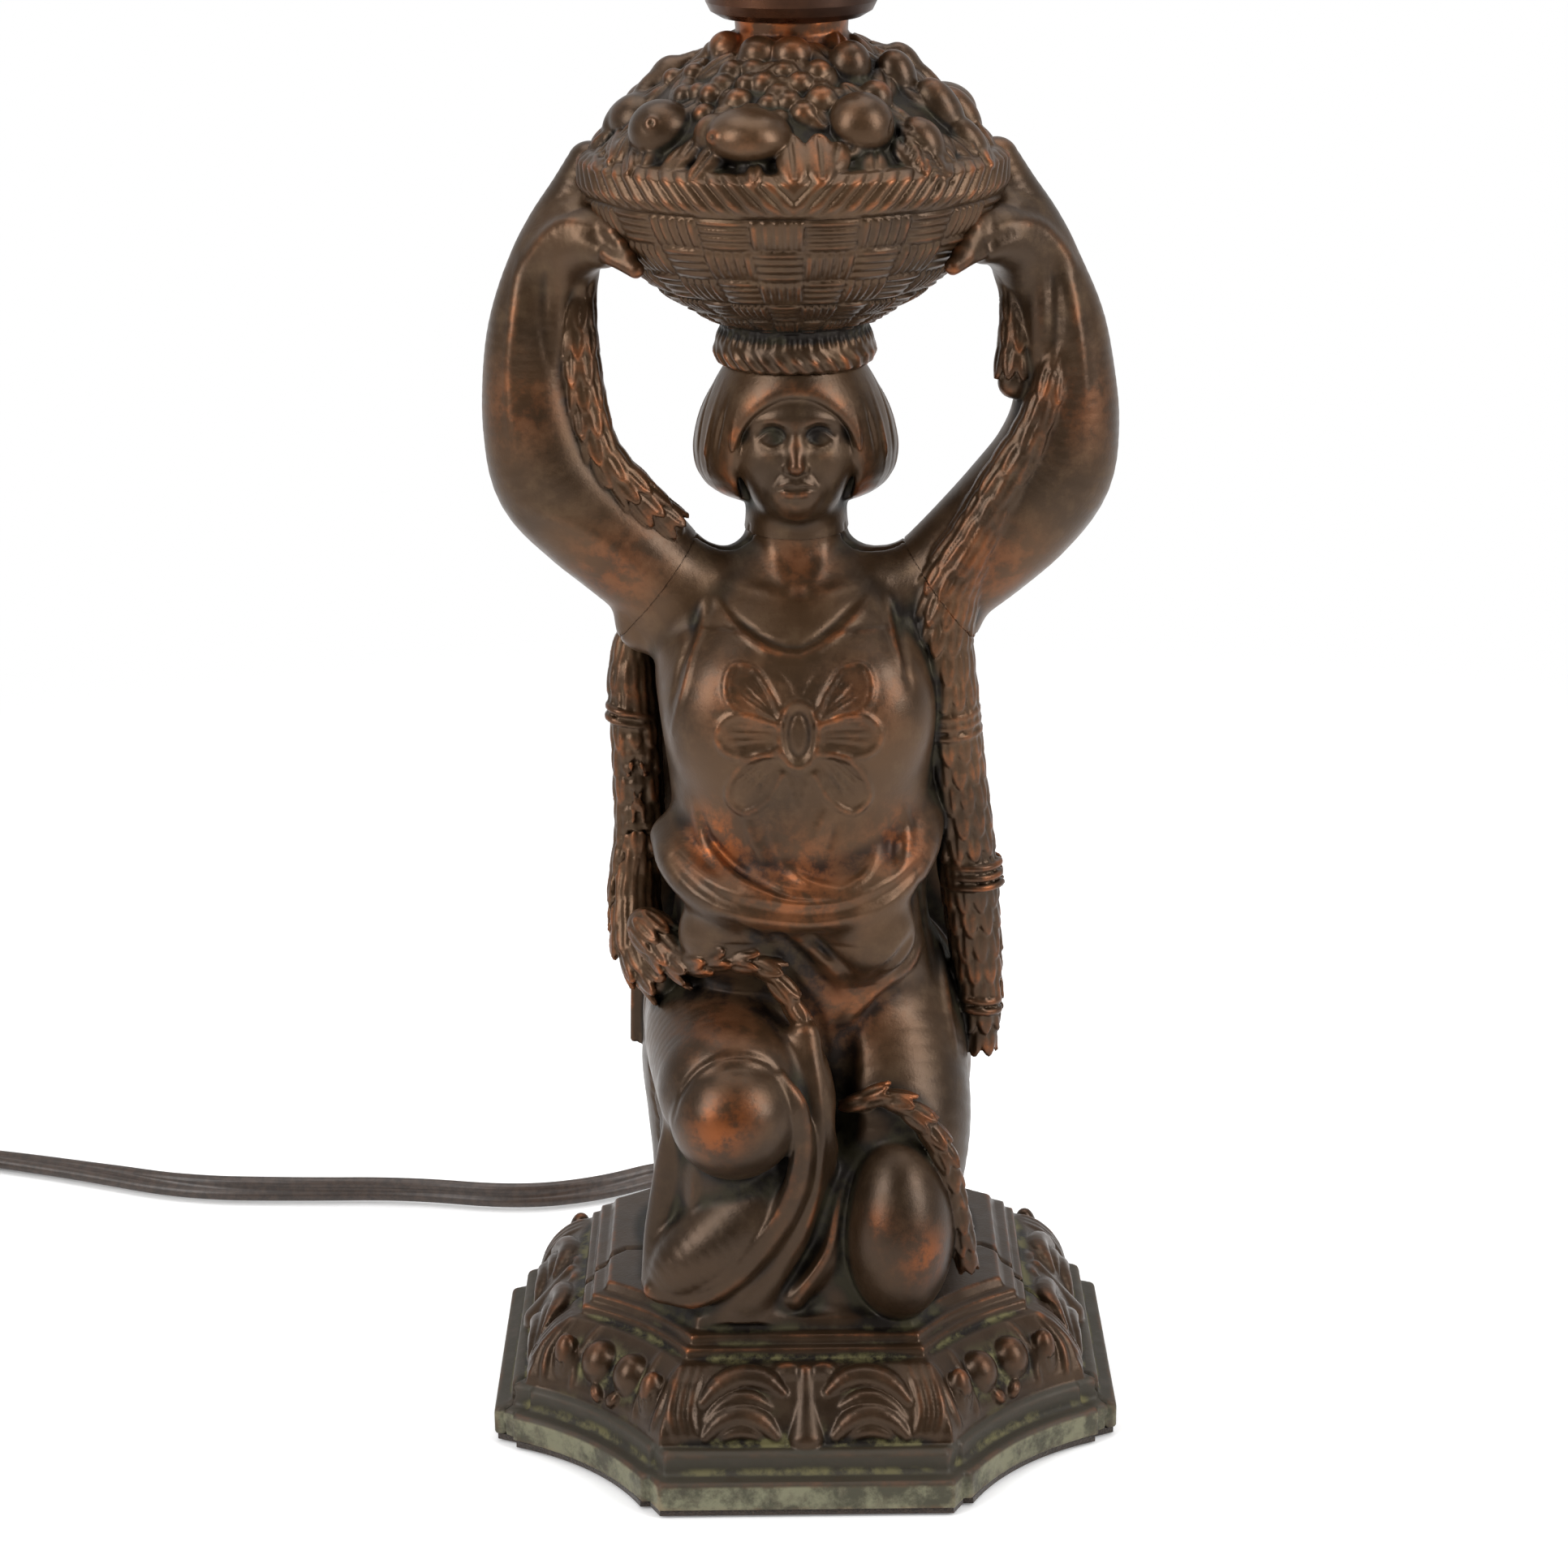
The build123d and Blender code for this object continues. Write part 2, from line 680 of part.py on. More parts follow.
with BuildPart() as socket_cap:
    turned(
        [
            (PIPE_RADIUS, LID_TOP),
            (CAP_RADIUS - CAP_EDGE, LID_TOP),
            (CAP_RADIUS - CAP_EDGE * 0.3, LID_TOP + CAP_EDGE * 0.4),
            (CAP_RADIUS, LID_TOP + CAP_EDGE),
            (CAP_RADIUS, LID_TOP + CAP_HEIGHT),
            (cap_inner, LID_TOP + CAP_HEIGHT),
            (cap_inner, LID_TOP + CAP_EDGE),
            (CAP_RADIUS - CAP_EDGE, LID_TOP + CAP_WALL),
            (PIPE_RADIUS, LID_TOP + CAP_WALL),
        ]
    )
finish(socket_cap, "socket_cap")


def shaft_hole(radius):
    """A hole along the switch shaft, out to the right."""
    with BuildSketch(Plane.YZ) as round_hole:
        with Locations((0, shaft_z)):
            Circle(radius)
    extrude(round_hole.sketch, amount=CAP_RADIUS, mode=Mode.SUBTRACT)


with BuildPart() as socket_shell:
    ring(shell_inner, shell_radius, shell_low, shell_high)
    shaft_hole(SHAFT_RADIUS + SHAFT_HOLE_CLEAR)
finish(socket_shell, "socket_shell")

with BuildPart() as paper_liner:
    ring(liner_inner, liner_inner + LINER_WALL, shell_low + LINER_SHORT, shell_high - LINER_SHORT)
    shaft_hole(SHAFT_RADIUS + SHAFT_HOLE_CLEAR)
finish(paper_liner, "paper_liner")

with BuildPart() as socket_body:
    ring(0, body_radius, body_low, body_high)
    ring(body_radius - BODY_RIM, body_radius, body_high, screw_low)
    with BuildSketch(Plane.YZ.offset(SHAFT_SEAT)) as seat:
        with Locations((0, shaft_z)):
            Circle(SHAFT_RADIUS + SHAFT_CLEAR)
    extrude(seat.sketch, amount=CAP_RADIUS, mode=Mode.SUBTRACT)
finish(socket_body, "socket_body")

with BuildPart() as screw_shell:
    ring(BULB_RADIUS, screw_outer, screw_low + SCREW_WALL, screw_low + SCREW_LENGTH)
    ring(body_radius - BODY_RIM, screw_outer, screw_low, screw_low + SCREW_WALL)
finish(screw_shell, "screw_shell")

with BuildPart() as centre_contact:
    with BuildSketch(Plane.XZ) as strip:
        with BuildLine():
            Polyline(
                (-0.6 * CONTACT_LONG, body_high),
                (0, body_high),
                (0.4 * CONTACT_LONG, body_high + CONTACT_RISE),
                (0.4 * CONTACT_LONG, body_high + CONTACT_RISE + CONTACT_THICK),
                (0, body_high + CONTACT_THICK * 1.2),
                (-0.6 * CONTACT_LONG, body_high + CONTACT_THICK),
                close=True,
            )
        make_face()
    extrude(strip.sketch, amount=CONTACT_WIDE / 2, both=True)
finish(centre_contact, "centre_contact")

with BuildPart() as terminal_screws:
    for side in (-1, 1):
        with BuildSketch(Plane.XZ.offset(side * body_radius)) as head_plan:
            with Locations((0, body_low + SCREW_LEVEL)):
                RegularPolygon(SCREW_HEAD, 12)
        extrude(head_plan.sketch, amount=side * SCREW_STAND)
finish(terminal_screws, "terminal_screws")

# ---------------------------------------------------------------- turn switch
shaft_in = SHAFT_SEAT + SHAFT_END_PLAY
shaft_out = CAP_RADIUS + KNOB_GAP
with BuildPart() as switch_shaft:
    with BuildSketch(Plane.YZ.offset(shaft_in)) as shaft_round:
        with Locations((0, shaft_z)):
            Circle(SHAFT_RADIUS)
    extrude(shaft_round.sketch, amount=shaft_out - shaft_in)
finish(switch_shaft, "switch_shaft")


def knob_point(i):
    """A crest or a valley of the knob's ribbed rim, in turn."""
    radius = KNOB_RADIUS - KNOB_RIB_DEPTH * (i % 2)
    turn = math.pi * i / KNOB_RIBS
    return radius * math.cos(turn), shaft_z + radius * math.sin(turn)


with BuildPart() as turn_knob:
    with BuildSketch(Plane.YZ.offset(shaft_out)) as knob_plan:
        with BuildLine():
            Polyline([knob_point(i) for i in range(2 * KNOB_RIBS)], close=True)
        make_face()
    extrude(knob_plan.sketch, amount=KNOB_LENGTH, taper=KNOB_TAPER)
finish(turn_knob, "turn_knob")

# ---------------------------------------------------------------- cord
spot_y = half_width - SPOT_INSET
exit_y = spot_y + BUSHING_LIP


def cord_section(plane):
    """The flat twin cord cut square: one flat each side."""
    with BuildSketch(plane) as section:
        Rectangle(CORD_WIDTH, CORD_THICK)
    return section.sketch


with BuildPart() as cord_bushing:
    for radius, y, length in (
        (BUSHING_FLANGE, exit_y, BUSHING_LIP),
        (BUSHING_RADIUS, spot_y, NOTCH + PLINTH_WALL + BUSHING_REACH - SPOT_INSET),
    ):
        with BuildSketch(Plane.XZ.offset(-y)) as bush_plan:
            with Locations((0, CORD_HEIGHT)):
                Circle(radius)
                Rectangle(CORD_WIDTH, CORD_THICK, mode=Mode.SUBTRACT)
        extrude(bush_plan.sketch, amount=length)
finish(cord_bushing, "cord_bushing")

with BuildPart() as inner_cord:
    with BuildLine() as inner_route:
        FilletPolyline(
            (0, exit_y, CORD_HEIGHT), (0, 0, CORD_HEIGHT), (0, 0, pipe_high + 2), radius=CORD_BEND
        )
    start = Plane(origin=(0, exit_y, CORD_HEIGHT), x_dir=(1, 0, 0), z_dir=(0, -1, 0))
    sweep(cord_section(start), path=inner_route.wire())
finish(inner_cord, "inner_cord")

cord_level = CORD_THICK / 2 + CORD_LIFT
route = [
    (0, exit_y, CORD_HEIGHT),
    (0, 82, 7.4),
    (-12, 97, 4.4),
    (-31, 102, 2.2),
    (-47, 92, cord_level),
    (-66, 87.5, cord_level),
    (-92, 93.6, cord_level),
    (-118, 94, cord_level),
    (-144, 96, cord_level),
    (-170, 108.2, cord_level),
    (-200, 120, cord_level),
    (-232, 128.4, cord_level),
]


def arc_radii(points):
    """The largest tangent arc at each corner that leaves a tenth of each run straight."""
    radii = []
    for before, here, after in zip(points, points[1:], points[2:]):
        run_in = Vector(*here) - Vector(*before)
        run_out = Vector(*after) - Vector(*here)
        half_turn = math.radians(run_in.get_angle(run_out)) / 2
        radii.append(0.45 * min(run_in.length, run_out.length) / math.tan(half_turn))
    return radii


def sweep_cord(wire, start):
    """Sweeps the flat section along a finished route."""
    sweep(cord_section(start), path=wire)


print("cord arc radii", [round(r, 1) for r in arc_radii(route)])
with BuildPart() as cord:
    with BuildLine() as cord_route:
        FilletPolyline(*route, radius=arc_radii(route))
    sweep_cord(cord_route.wire(), Plane(origin=route[0], x_dir=(1, 0, 0), z_dir=(0, 1, 0)))
finish(cord, "cord")

# The coil lies flat: it spirals in on the table, climbs in its last half turn there,
# steps out past that climb and spirals out again on top.
coil_start = Vector(*route[-1])
heading = (coil_start - Vector(*route[-2])).normalized()
coil_outer = COIL_MEAN + COIL_PITCH * COIL_TURNS / 2
coil_centre = coil_start + heading.rotate(Axis.Z, 90) * coil_outer
start_bearing = math.atan2(-heading.X, heading.Y)
quarters_down = 4 * COIL_TURNS
quarters_up = quarters_down - 4


def coil_node(i):
    """The cord's middle after i quarter turns."""
    if i <= quarters_down:
        radius = coil_outer - COIL_PITCH * i / 4
        height = COIL_RISE * max(0, i - quarters_down + 2) / 2
    else:
        j = i - quarters_down
        step_out = 0.75 * min(j, 2) + 0.25 * max(0, j - 2)
        radius = coil_outer - COIL_PITCH * (COIL_TURNS - step_out)
        height = COIL_RISE
    bearing = start_bearing + math.pi / 2 * i
    return coil_centre + Vector(radius * math.cos(bearing), radius * math.sin(bearing), height)


def biarc(start, start_way, end, end_way):
    """Two arcs that leave start and reach end along the given directions."""
    span = end - start
    ways = start_way + end_way
    spread = 2 * (1 - start_way.dot(end_way))
    along = span.dot(ways)
    reach = (math.sqrt(along**2 + spread * span.dot(span)) - along) / spread
    joint = (start + end + (start_way - end_way) * reach) / 2
    joint_way = (end - end_way * reach - start - start_way * reach).normalized()
    TangentArc(start, joint, tangent=start_way)
    TangentArc(joint, end, tangent=joint_way)


nodes = [coil_node(i) for i in range(quarters_down + quarters_up + 1)]
ways = [(b - a).normalized() for a, b in zip(nodes, nodes[2:])]
ways = [heading] + ways + [heading]
outward = heading.rotate(Axis.Z, -90)
tail_bend = nodes[-1] + heading * TAIL_ALONG + outward * TAIL_OUT
tail_way = heading.rotate(Axis.Z, -TAIL_TURN)
coil_end = tail_bend + tail_way * COIL_TAIL
with BuildPart() as cord_coil:
    with BuildLine() as coil_route:
        for i in range(len(nodes) - 1):
            biarc(nodes[i], ways[i], nodes[i + 1], ways[i + 1])
        biarc(nodes[-1], heading, tail_bend, tail_way)
        Line(tail_bend, coil_end)
    coil_wire = coil_route.wire()
    sweep_cord(coil_wire, Plane(origin=coil_start, x_dir=outward, z_dir=heading))
finish(cord_coil, "cord_coil")

for label, block, wire in (("cord", cord, cord_route.wire()), ("coil", cord_coil, coil_wire)):
    by_section = wire.length * CORD_WIDTH * CORD_THICK
    print(label, "length", round(wire.length), "volume", round(block.part.volume), "of", round(by_section))

sample_count = 1400
samples = [coil_wire @ (i / sample_count) for i in range(sample_count + 1)]
quarter_samples = sample_count // len(nodes)
least_gap = min(
    max(math.hypot(a.X - b.X, a.Y - b.Y) - CORD_WIDTH, abs(a.Z - b.Z) - CORD_THICK)
    for i, a in enumerate(samples)
    for b in samples[i + 2 * quarter_samples :]
)
print("least gap in the coil", round(least_gap, 2))

# ---------------------------------------------------------------- plug
plug_plane = Plane(
    origin=(coil_end.X, coil_end.Y, PLUG_THICK / 2), x_dir=tail_way.rotate(Axis.Z, -90), z_dir=tail_way
)
with BuildPart() as plug_body:
    with BuildSketch(plug_plane) as plug_back:
        RectangleRounded(PLUG_WIDTH * PLUG_WAIST, PLUG_BACK_THICK, PLUG_BACK_ROUND)
    with BuildSketch(plug_plane.offset(PLUG_LENGTH * PLUG_WAIST)) as plug_middle:
        RectangleRounded(PLUG_WIDTH, PLUG_THICK, PLUG_ROUND)
    with BuildSketch(plug_plane.offset(PLUG_LENGTH)) as plug_front:
        RectangleRounded(PLUG_WIDTH, PLUG_THICK, PLUG_ROUND)
    loft([plug_back.sketch, plug_middle.sketch, plug_front.sketch], ruled=True)
finish(plug_body, "plug_body")

with BuildPart() as plug_blades:
    with BuildSketch(plug_plane.offset(PLUG_LENGTH)) as blade_plan:
        with GridLocations(BLADE_SPACING, 0, 2, 1):
            Rectangle(BLADE_THICK, BLADE_WIDTH)
    extrude(blade_plan.sketch, amount=BLADE_LENGTH)
finish(plug_blades, "plug_blades")
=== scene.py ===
# %% [markdown]
# # A figural table lamp
#
# A kneeling figure in cast spelter holds a basket of fruit, and the basket carries a
# lamp socket. The castings are sculpted here as volumes of distances, the way clay is
# built up and carved, then turned into meshes. Small hardware keeps its CAD mesh.

import math

import bpy
import numpy as np
import openvdb as vdb
from mathutils import Matrix, Vector


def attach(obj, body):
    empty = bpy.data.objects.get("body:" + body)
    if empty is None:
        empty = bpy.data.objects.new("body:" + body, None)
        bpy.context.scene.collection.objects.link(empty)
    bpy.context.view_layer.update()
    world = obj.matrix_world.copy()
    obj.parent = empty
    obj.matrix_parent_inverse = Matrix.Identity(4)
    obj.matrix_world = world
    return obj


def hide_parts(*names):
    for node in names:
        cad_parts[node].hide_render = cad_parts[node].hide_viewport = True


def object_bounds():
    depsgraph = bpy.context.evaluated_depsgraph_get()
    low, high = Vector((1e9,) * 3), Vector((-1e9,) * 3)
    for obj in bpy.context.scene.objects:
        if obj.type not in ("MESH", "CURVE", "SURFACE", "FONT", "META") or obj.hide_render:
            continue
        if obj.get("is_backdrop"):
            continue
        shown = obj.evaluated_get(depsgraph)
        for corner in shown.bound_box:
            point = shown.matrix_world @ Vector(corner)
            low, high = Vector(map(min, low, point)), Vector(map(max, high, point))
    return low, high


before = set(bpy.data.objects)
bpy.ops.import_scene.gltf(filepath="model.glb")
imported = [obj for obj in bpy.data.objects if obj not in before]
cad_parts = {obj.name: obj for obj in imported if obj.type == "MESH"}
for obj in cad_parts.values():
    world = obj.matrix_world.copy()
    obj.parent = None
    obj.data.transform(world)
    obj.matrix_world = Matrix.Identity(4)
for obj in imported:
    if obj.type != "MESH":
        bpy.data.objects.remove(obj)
cad_low, cad_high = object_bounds()
print("CAD box", [round(v, 4) for v in (*cad_low, *cad_high)])

MM = 0.001
STEP = 0.5

# %% [markdown]
# ## Camera
#
# The lamp was photographed from a little above with a long lens. The camera is put in
# place from its height, distance and tilt, so that points of the picture can guide the
# sculpting. Two helpers turn a picture point into a ray, or into a point at a depth.

# %% Camera
TILT = math.radians(17.37)
ROLL = math.radians(0.4)
LEAN = 0.0037
FOCAL = 4802.0
PICTURE = 1932.0
RAY_NEAR, RAY_FAR, RAY_STEP = 640, 880, 0.4

turn = np.array([
    [math.cos(LEAN), 0, math.sin(LEAN)], [0, 1, 0], [-math.sin(LEAN), 0, math.cos(LEAN)],
])
eye = turn @ np.array([-3.5, -750.0, 365.2])
level_up = np.array([0, math.sin(TILT), math.cos(TILT)])
forward = turn @ np.array([0, math.cos(TILT), -math.sin(TILT)])
right = turn @ (math.cos(ROLL) * np.array([1, 0, 0]) - math.sin(ROLL) * level_up)
upward = turn @ (math.sin(ROLL) * np.array([1, 0, 0]) + math.cos(ROLL) * level_up)

lens = bpy.data.cameras.new("photo_camera")
lens.sensor_width = 36.0
lens.lens = FOCAL / PICTURE * 36.0
lens.clip_start, lens.clip_end = 0.05, 20
camera = bpy.data.objects.new("photo_camera", lens)
bpy.context.scene.collection.objects.link(camera)
pose = Matrix(np.column_stack([right, upward, -forward]).tolist()).to_4x4()
pose.translation = Vector(eye * MM)
camera.matrix_world = pose
bpy.context.scene.camera = camera
print("camera at", [round(float(v)) for v in eye], "mm")


def ray(u, v):
    """Direction from the camera through a point of the picture, 1932 units wide."""
    u, v = np.asarray(u, float) - PICTURE / 2, np.asarray(v, float) - PICTURE / 2
    way = forward + np.multiply.outer(u / FOCAL, right) - np.multiply.outer(v / FOCAL, upward)
    return way / np.linalg.norm(way, axis=-1, keepdims=True)


def at(u, v, y):
    """The point at depth y, in millimetres, that shows at (u, v) in the picture."""
    way = ray(u, v)
    return eye + way * ((y - eye[1]) / way[..., 1])[..., None]


# %% [markdown]
# ## Clay
#
# A block of voxels holds the distance to the surface. Forms are added with a soft
# joint, or cut away, and strokes push the surface in or out along a line.


# %% Smooth joins and lines
def smooth_min(a, b, k):
    """The lesser of two distances, with the corner between them rounded over k."""
    h = np.maximum(k - np.abs(a - b), 0) / k
    return np.minimum(a, b) - h * h * (k / 4)


def spline(rows, count):
    """A smooth line of count points through rows of numbers, even along its length."""
    rows = np.asarray(rows, float)
    gap = np.linalg.norm(np.diff(rows[:, :3], axis=0), axis=1)
    knots = np.concatenate([[0], np.cumsum(gap)])
    return hermite(knots, rows, np.linspace(0, knots[-1], count))


def hermite(knots, values, t):
    """Values between knots, on a smooth curve through them."""
    knots, values = np.asarray(knots, float), np.asarray(values, float)
    values = values.reshape(len(knots), -1)
    if len(knots) > 2:
        slope = np.gradient(values, knots, axis=0)
    else:
        slope = np.diff(values, axis=0).repeat(2, 0) / np.diff(knots)
    i = np.clip(np.searchsorted(knots, t) - 1, 0, len(knots) - 2)
    h = (knots[i + 1] - knots[i])[:, None]
    s = np.clip((t - knots[i])[:, None] / h, 0, 1)
    a, b, p, q = values[i], values[i + 1], slope[i], slope[i + 1]
    leaving = (1 + 2 * s) * (1 - s) ** 2 * a + s * (1 - s) ** 2 * h * p
    return leaving + s * s * (3 - 2 * s) * b + s * s * (s - 1) * h * q


def along_line(x, y, z, rows):
    """Distance to a chain of round cones, given as (x, y, z, radius)."""
    best = None
    for a, b in zip(rows, rows[1:]):
        run = b[:3] - a[:3]
        px, py, pz = x - a[0], y - a[1], z - a[2]
        t = np.clip((px * run[0] + py * run[1] + pz * run[2]) / max(run @ run, 1e-6), 0, 1)
        far = (px - t * run[0]) ** 2 + (py - t * run[1]) ** 2 + (pz - t * run[2]) ** 2
        far = np.sqrt(far) - (a[3] + t * (b[3] - a[3]))
        best = far if best is None else np.minimum(best, far)
    return best


# %% [markdown]
# The block's methods are the moves of modelling. Limb, ovals and egg add or cut a form,
# stroke and draw press or raise a line, and leaf lays a leaf. Seen looks at the clay
# along the camera's rays, and proud tells ridges from hollows.

# %% The block of clay
class Clay:
    """A block of distances to the surface, in millimetres, negative inside."""

    def __init__(self, low, high, step):
        self.step = step
        self.axes = [np.arange(a, b, step, dtype=np.float32) for a, b in zip(low, high)]
        self.low = np.array([a[0] for a in self.axes])
        self.field = np.full([len(a) for a in self.axes], 5.0, np.float32)
        self.averages = {}

    def window(self, low, high):
        """The part of the block between two corners, and its coordinates."""
        part = tuple(
            slice(max(0, int(np.searchsorted(a, l))), int(np.searchsorted(a, h)))
            for a, l, h in zip(self.axes, low, high)
        )
        grids = np.meshgrid(*[a[s] for a, s in zip(self.axes, part)], indexing="ij", sparse=True)
        return part, grids

    def add(self, shape, low, high, blend=0.8):
        """Joins a shape on, between two corners, with a soft joint."""
        part, grids = self.window(np.asarray(low) - 3, np.asarray(high) + 3)
        self.field[part] = smooth_min(self.field[part], shape(*grids), blend)

    def cut(self, shape, low, high, blend=0.8):
        """Takes a shape away, with a soft edge."""
        part, grids = self.window(np.asarray(low) - 3, np.asarray(high) + 3)
        self.field[part] = -smooth_min(-self.field[part], shape(*grids), blend)

    def limb(self, rows, blend=1.5, count=None, away=False):
        """A round form that runs smoothly through (x, y, z, radius)."""
        rows = np.asarray(rows, float)
        if len(rows) > 2:
            rows = spline(rows, count or 4 * len(rows))
        reach = rows[:, 3:4]
        act = self.cut if away else self.add
        act(lambda x, y, z: along_line(x, y, z, rows).astype(np.float32),
            (rows[:, :3] - reach).min(0), (rows[:, :3] + reach).max(0), blend)

    def ovals(self, rows, blend=1.5, away=False):
        """An upright form of level ovals: (height, x, y, half width, half depth)."""
        rows = np.asarray(rows, float)
        reach = rows[:, 3:5].max(0)
        low = (*(rows[:, 1:3].min(0) - reach), rows[0, 0])
        high = (*(rows[:, 1:3].max(0) + reach), rows[-1, 0])

        def shape(x, y, z):
            heights = np.clip(z[0, 0], rows[0, 0], rows[-1, 0])
            sizes = hermite(rows[:, 0], rows[:, 1:], heights).T.astype(np.float32)
            cx, cy, a, b = sizes[:, None, None]
            u, v = (x - cx) / a, (y - cy) / b
            k = np.sqrt(u * u + v * v) + 1e-4
            side = k * (k - 1) / np.sqrt((u / a) ** 2 + (v / b) ** 2 + 1e-6)
            return np.maximum(side, np.maximum(z - rows[-1, 0], rows[0, 0] - z))

        (self.cut if away else self.add)(shape, low, high, blend)

    def egg(self, centre, radii, blend=1.5, away=False, tip=(0, 0, 0)):
        """An ellipsoid, tipped about x, y and z by degrees."""
        centre, radii = np.asarray(centre, float), np.asarray(radii, float)
        m = np.eye(3)
        for axis, angle in enumerate(tip):
            if angle:
                m = np.array(Matrix.Rotation(math.radians(angle), 3, "XYZ"[axis])) @ m

        def shape(x, y, z):
            p = (x - centre[0], y - centre[1], z - centre[2])
            q = [sum(m[j, i] * p[j] for j in range(3)) / radii[i] for i in range(3)]
            k = np.sqrt(q[0] ** 2 + q[1] ** 2 + q[2] ** 2) + 1e-4
            g = np.sqrt((q[0] / radii[0]) ** 2 + (q[1] / radii[1]) ** 2 + (q[2] / radii[2]) ** 2 + 1e-6)
            return (k * (k - 1) / g).astype(np.float32)

        reach = radii.max() if any(tip) else radii
        (self.cut if away else self.add)(shape, centre - reach, centre + reach, blend)

    def stroke(self, rows, width, lift, fade=True, count=None):
        """Raises the surface along a line by lift, or sinks it where lift is negative."""
        rows = np.asarray(rows, float)[:, :3]
        if len(rows) > 2:
            rows = spline(rows, count or 3 * len(rows))
        gap = np.linalg.norm(np.diff(rows, axis=0), axis=1)
        s = np.concatenate([[0], np.cumsum(gap)]) / max(gap.sum(), 1e-6)
        power = np.sin(np.pi * np.clip(s, 0.02, 0.98)) ** 0.6 if fade else np.ones(len(s))
        reach = 2.6 * width
        part, (x, y, z) = self.window(rows.min(0) - reach, rows.max(0) + reach)
        best = weight = None
        for a, b, wa, wb in zip(rows, rows[1:], power, power[1:]):
            run = b - a
            px, py, pz = x - a[0], y - a[1], z - a[2]
            t = np.clip((px * run[0] + py * run[1] + pz * run[2]) / max(run @ run, 1e-6), 0, 1)
            far = (px - t * run[0]) ** 2 + (py - t * run[1]) ** 2 + (pz - t * run[2]) ** 2
            w = wa + t * (wb - wa)
            if best is None:
                best, weight = far, w
            else:
                weight = np.where(far < best, w, weight)
                best = np.minimum(best, far)
        self.field[part] -= (lift * weight * np.exp(-best / width**2)).astype(np.float32)

    def leaf(self, middle, way, out, length, width, thick, rib=0.3, blend=0.3):
        """A pointed leaf about its middle, with a groove down its face."""
        way = np.asarray(way, float) / np.linalg.norm(way)
        out = np.asarray(out, float) - way * (np.asarray(out, float) @ way)
        out /= np.linalg.norm(out)
        side = np.cross(way, out)
        half = length / 2

        def shape(x, y, z):
            px, py, pz = x - middle[0], y - middle[1], z - middle[2]
            s = (px * way[0] + py * way[1] + pz * way[2]) / half
            t = px * side[0] + py * side[1] + pz * side[2]
            n = px * out[0] + py * out[1] + pz * out[2]
            belly = np.maximum(1 - s * s, 0.02)
            w = width / 2 * belly**0.62
            far = (np.sqrt((t / w) ** 2 + (n / (thick * belly**0.4)) ** 2) - 1) * thick
            far = far + rib * np.exp(-((t / 0.45) ** 2)) * (n > 0) * (np.abs(s) < 0.8)
            return np.maximum(far, (np.abs(s) - 1) * half).astype(np.float32)

        reach = np.abs(way) * half + np.abs(side) * width / 2 + np.abs(out) * thick
        self.add(shape, np.asarray(middle) - reach + 1.5, np.asarray(middle) + reach - 1.5, blend)

    def value(self, points, field=None):
        """The field at points, between voxels."""
        field = self.field if field is None else field
        p = (np.asarray(points, float) - self.low) / self.step
        p = np.clip(p, 0, np.array(field.shape) - 1.001)
        i = p.astype(int)
        f = (p - i).astype(np.float32)
        total = 0
        for dx in (0, 1):
            for dy in (0, 1):
                for dz in (0, 1):
                    w = abs(1 - dx - f[..., 0]) * abs(1 - dy - f[..., 1]) * abs(1 - dz - f[..., 2])
                    total = total + w * field[i[..., 0] + dx, i[..., 1] + dy, i[..., 2] + dz]
        return total

    def proud(self, points, reach):
        """How far the surface stands proud of its own average over a reach in millimetres."""
        radius = max(1, round(reach / self.step))
        if radius not in self.averages:
            self.averages[radius] = blurred(self.field, radius)
        return self.value(points, self.averages[radius]) - self.value(points)

    def outward(self, points):
        """Directions square to the surface, from the field round each point."""
        steps = 0.8 * self.step * np.eye(3)
        ways = np.column_stack([self.value(points + d) - self.value(points - d) for d in steps])
        return ways / np.maximum(np.linalg.norm(ways, axis=1, keepdims=True), 1e-6)

    def seen(self, u, v, field=None):
        """Where the rays through picture points first meet the clay."""
        way = ray(u, v)
        depth = np.arange(RAY_NEAR, RAY_FAR, RAY_STEP)
        points = eye + way[..., None, :] * depth[:, None]
        inside = self.value(points, field) < 0
        first = np.argmax(inside, axis=-1)
        hit = inside.any(axis=-1)
        found = np.take_along_axis(points, first[..., None, None], axis=-2)[..., 0, :]
        return found, hit

    def draw(self, picture, width, lift, fade=True, count=14):
        """A stroke drawn on the clay from in front, through picture points."""
        flat = np.column_stack([np.asarray(picture, float), np.zeros(len(picture))])
        if len(flat) > 2:
            flat = spline(flat, count)
        else:
            flat = flat[0] + np.linspace(0, 1, 6)[:, None] * (flat[1] - flat[0])
        found, hit = self.seen(flat[:, 0], flat[:, 1])
        if hit.sum() > 1:
            self.stroke(found[hit], width, lift, fade, count=len(found))


# %% [markdown]
# The clay becomes a mesh where the distance is nought. Three values stay on it for the
# finish to read: what stands proud close by, what lies hollow over a wider reach, and
# what hands have rubbed.

# %% From clay to mesh
def blurred(field, radius):
    """Averages a field over a box, twice along each axis."""
    out = np.clip(field, -3, 3)
    for axis in range(3):
        for _ in range(2):
            pad = [(radius + 1, radius) if a == axis else (0, 0) for a in range(3)]
            total = np.cumsum(np.pad(out, pad, mode="edge"), axis=axis, dtype=np.float32)
            size = out.shape[axis]
            width = 2 * radius + 1
            upper = [slice(None)] * 3
            lower = [slice(None)] * 3
            upper[axis], lower[axis] = slice(width, width + size), slice(0, size)
            out = (total[tuple(upper)] - total[tuple(lower)]) / width
    return out


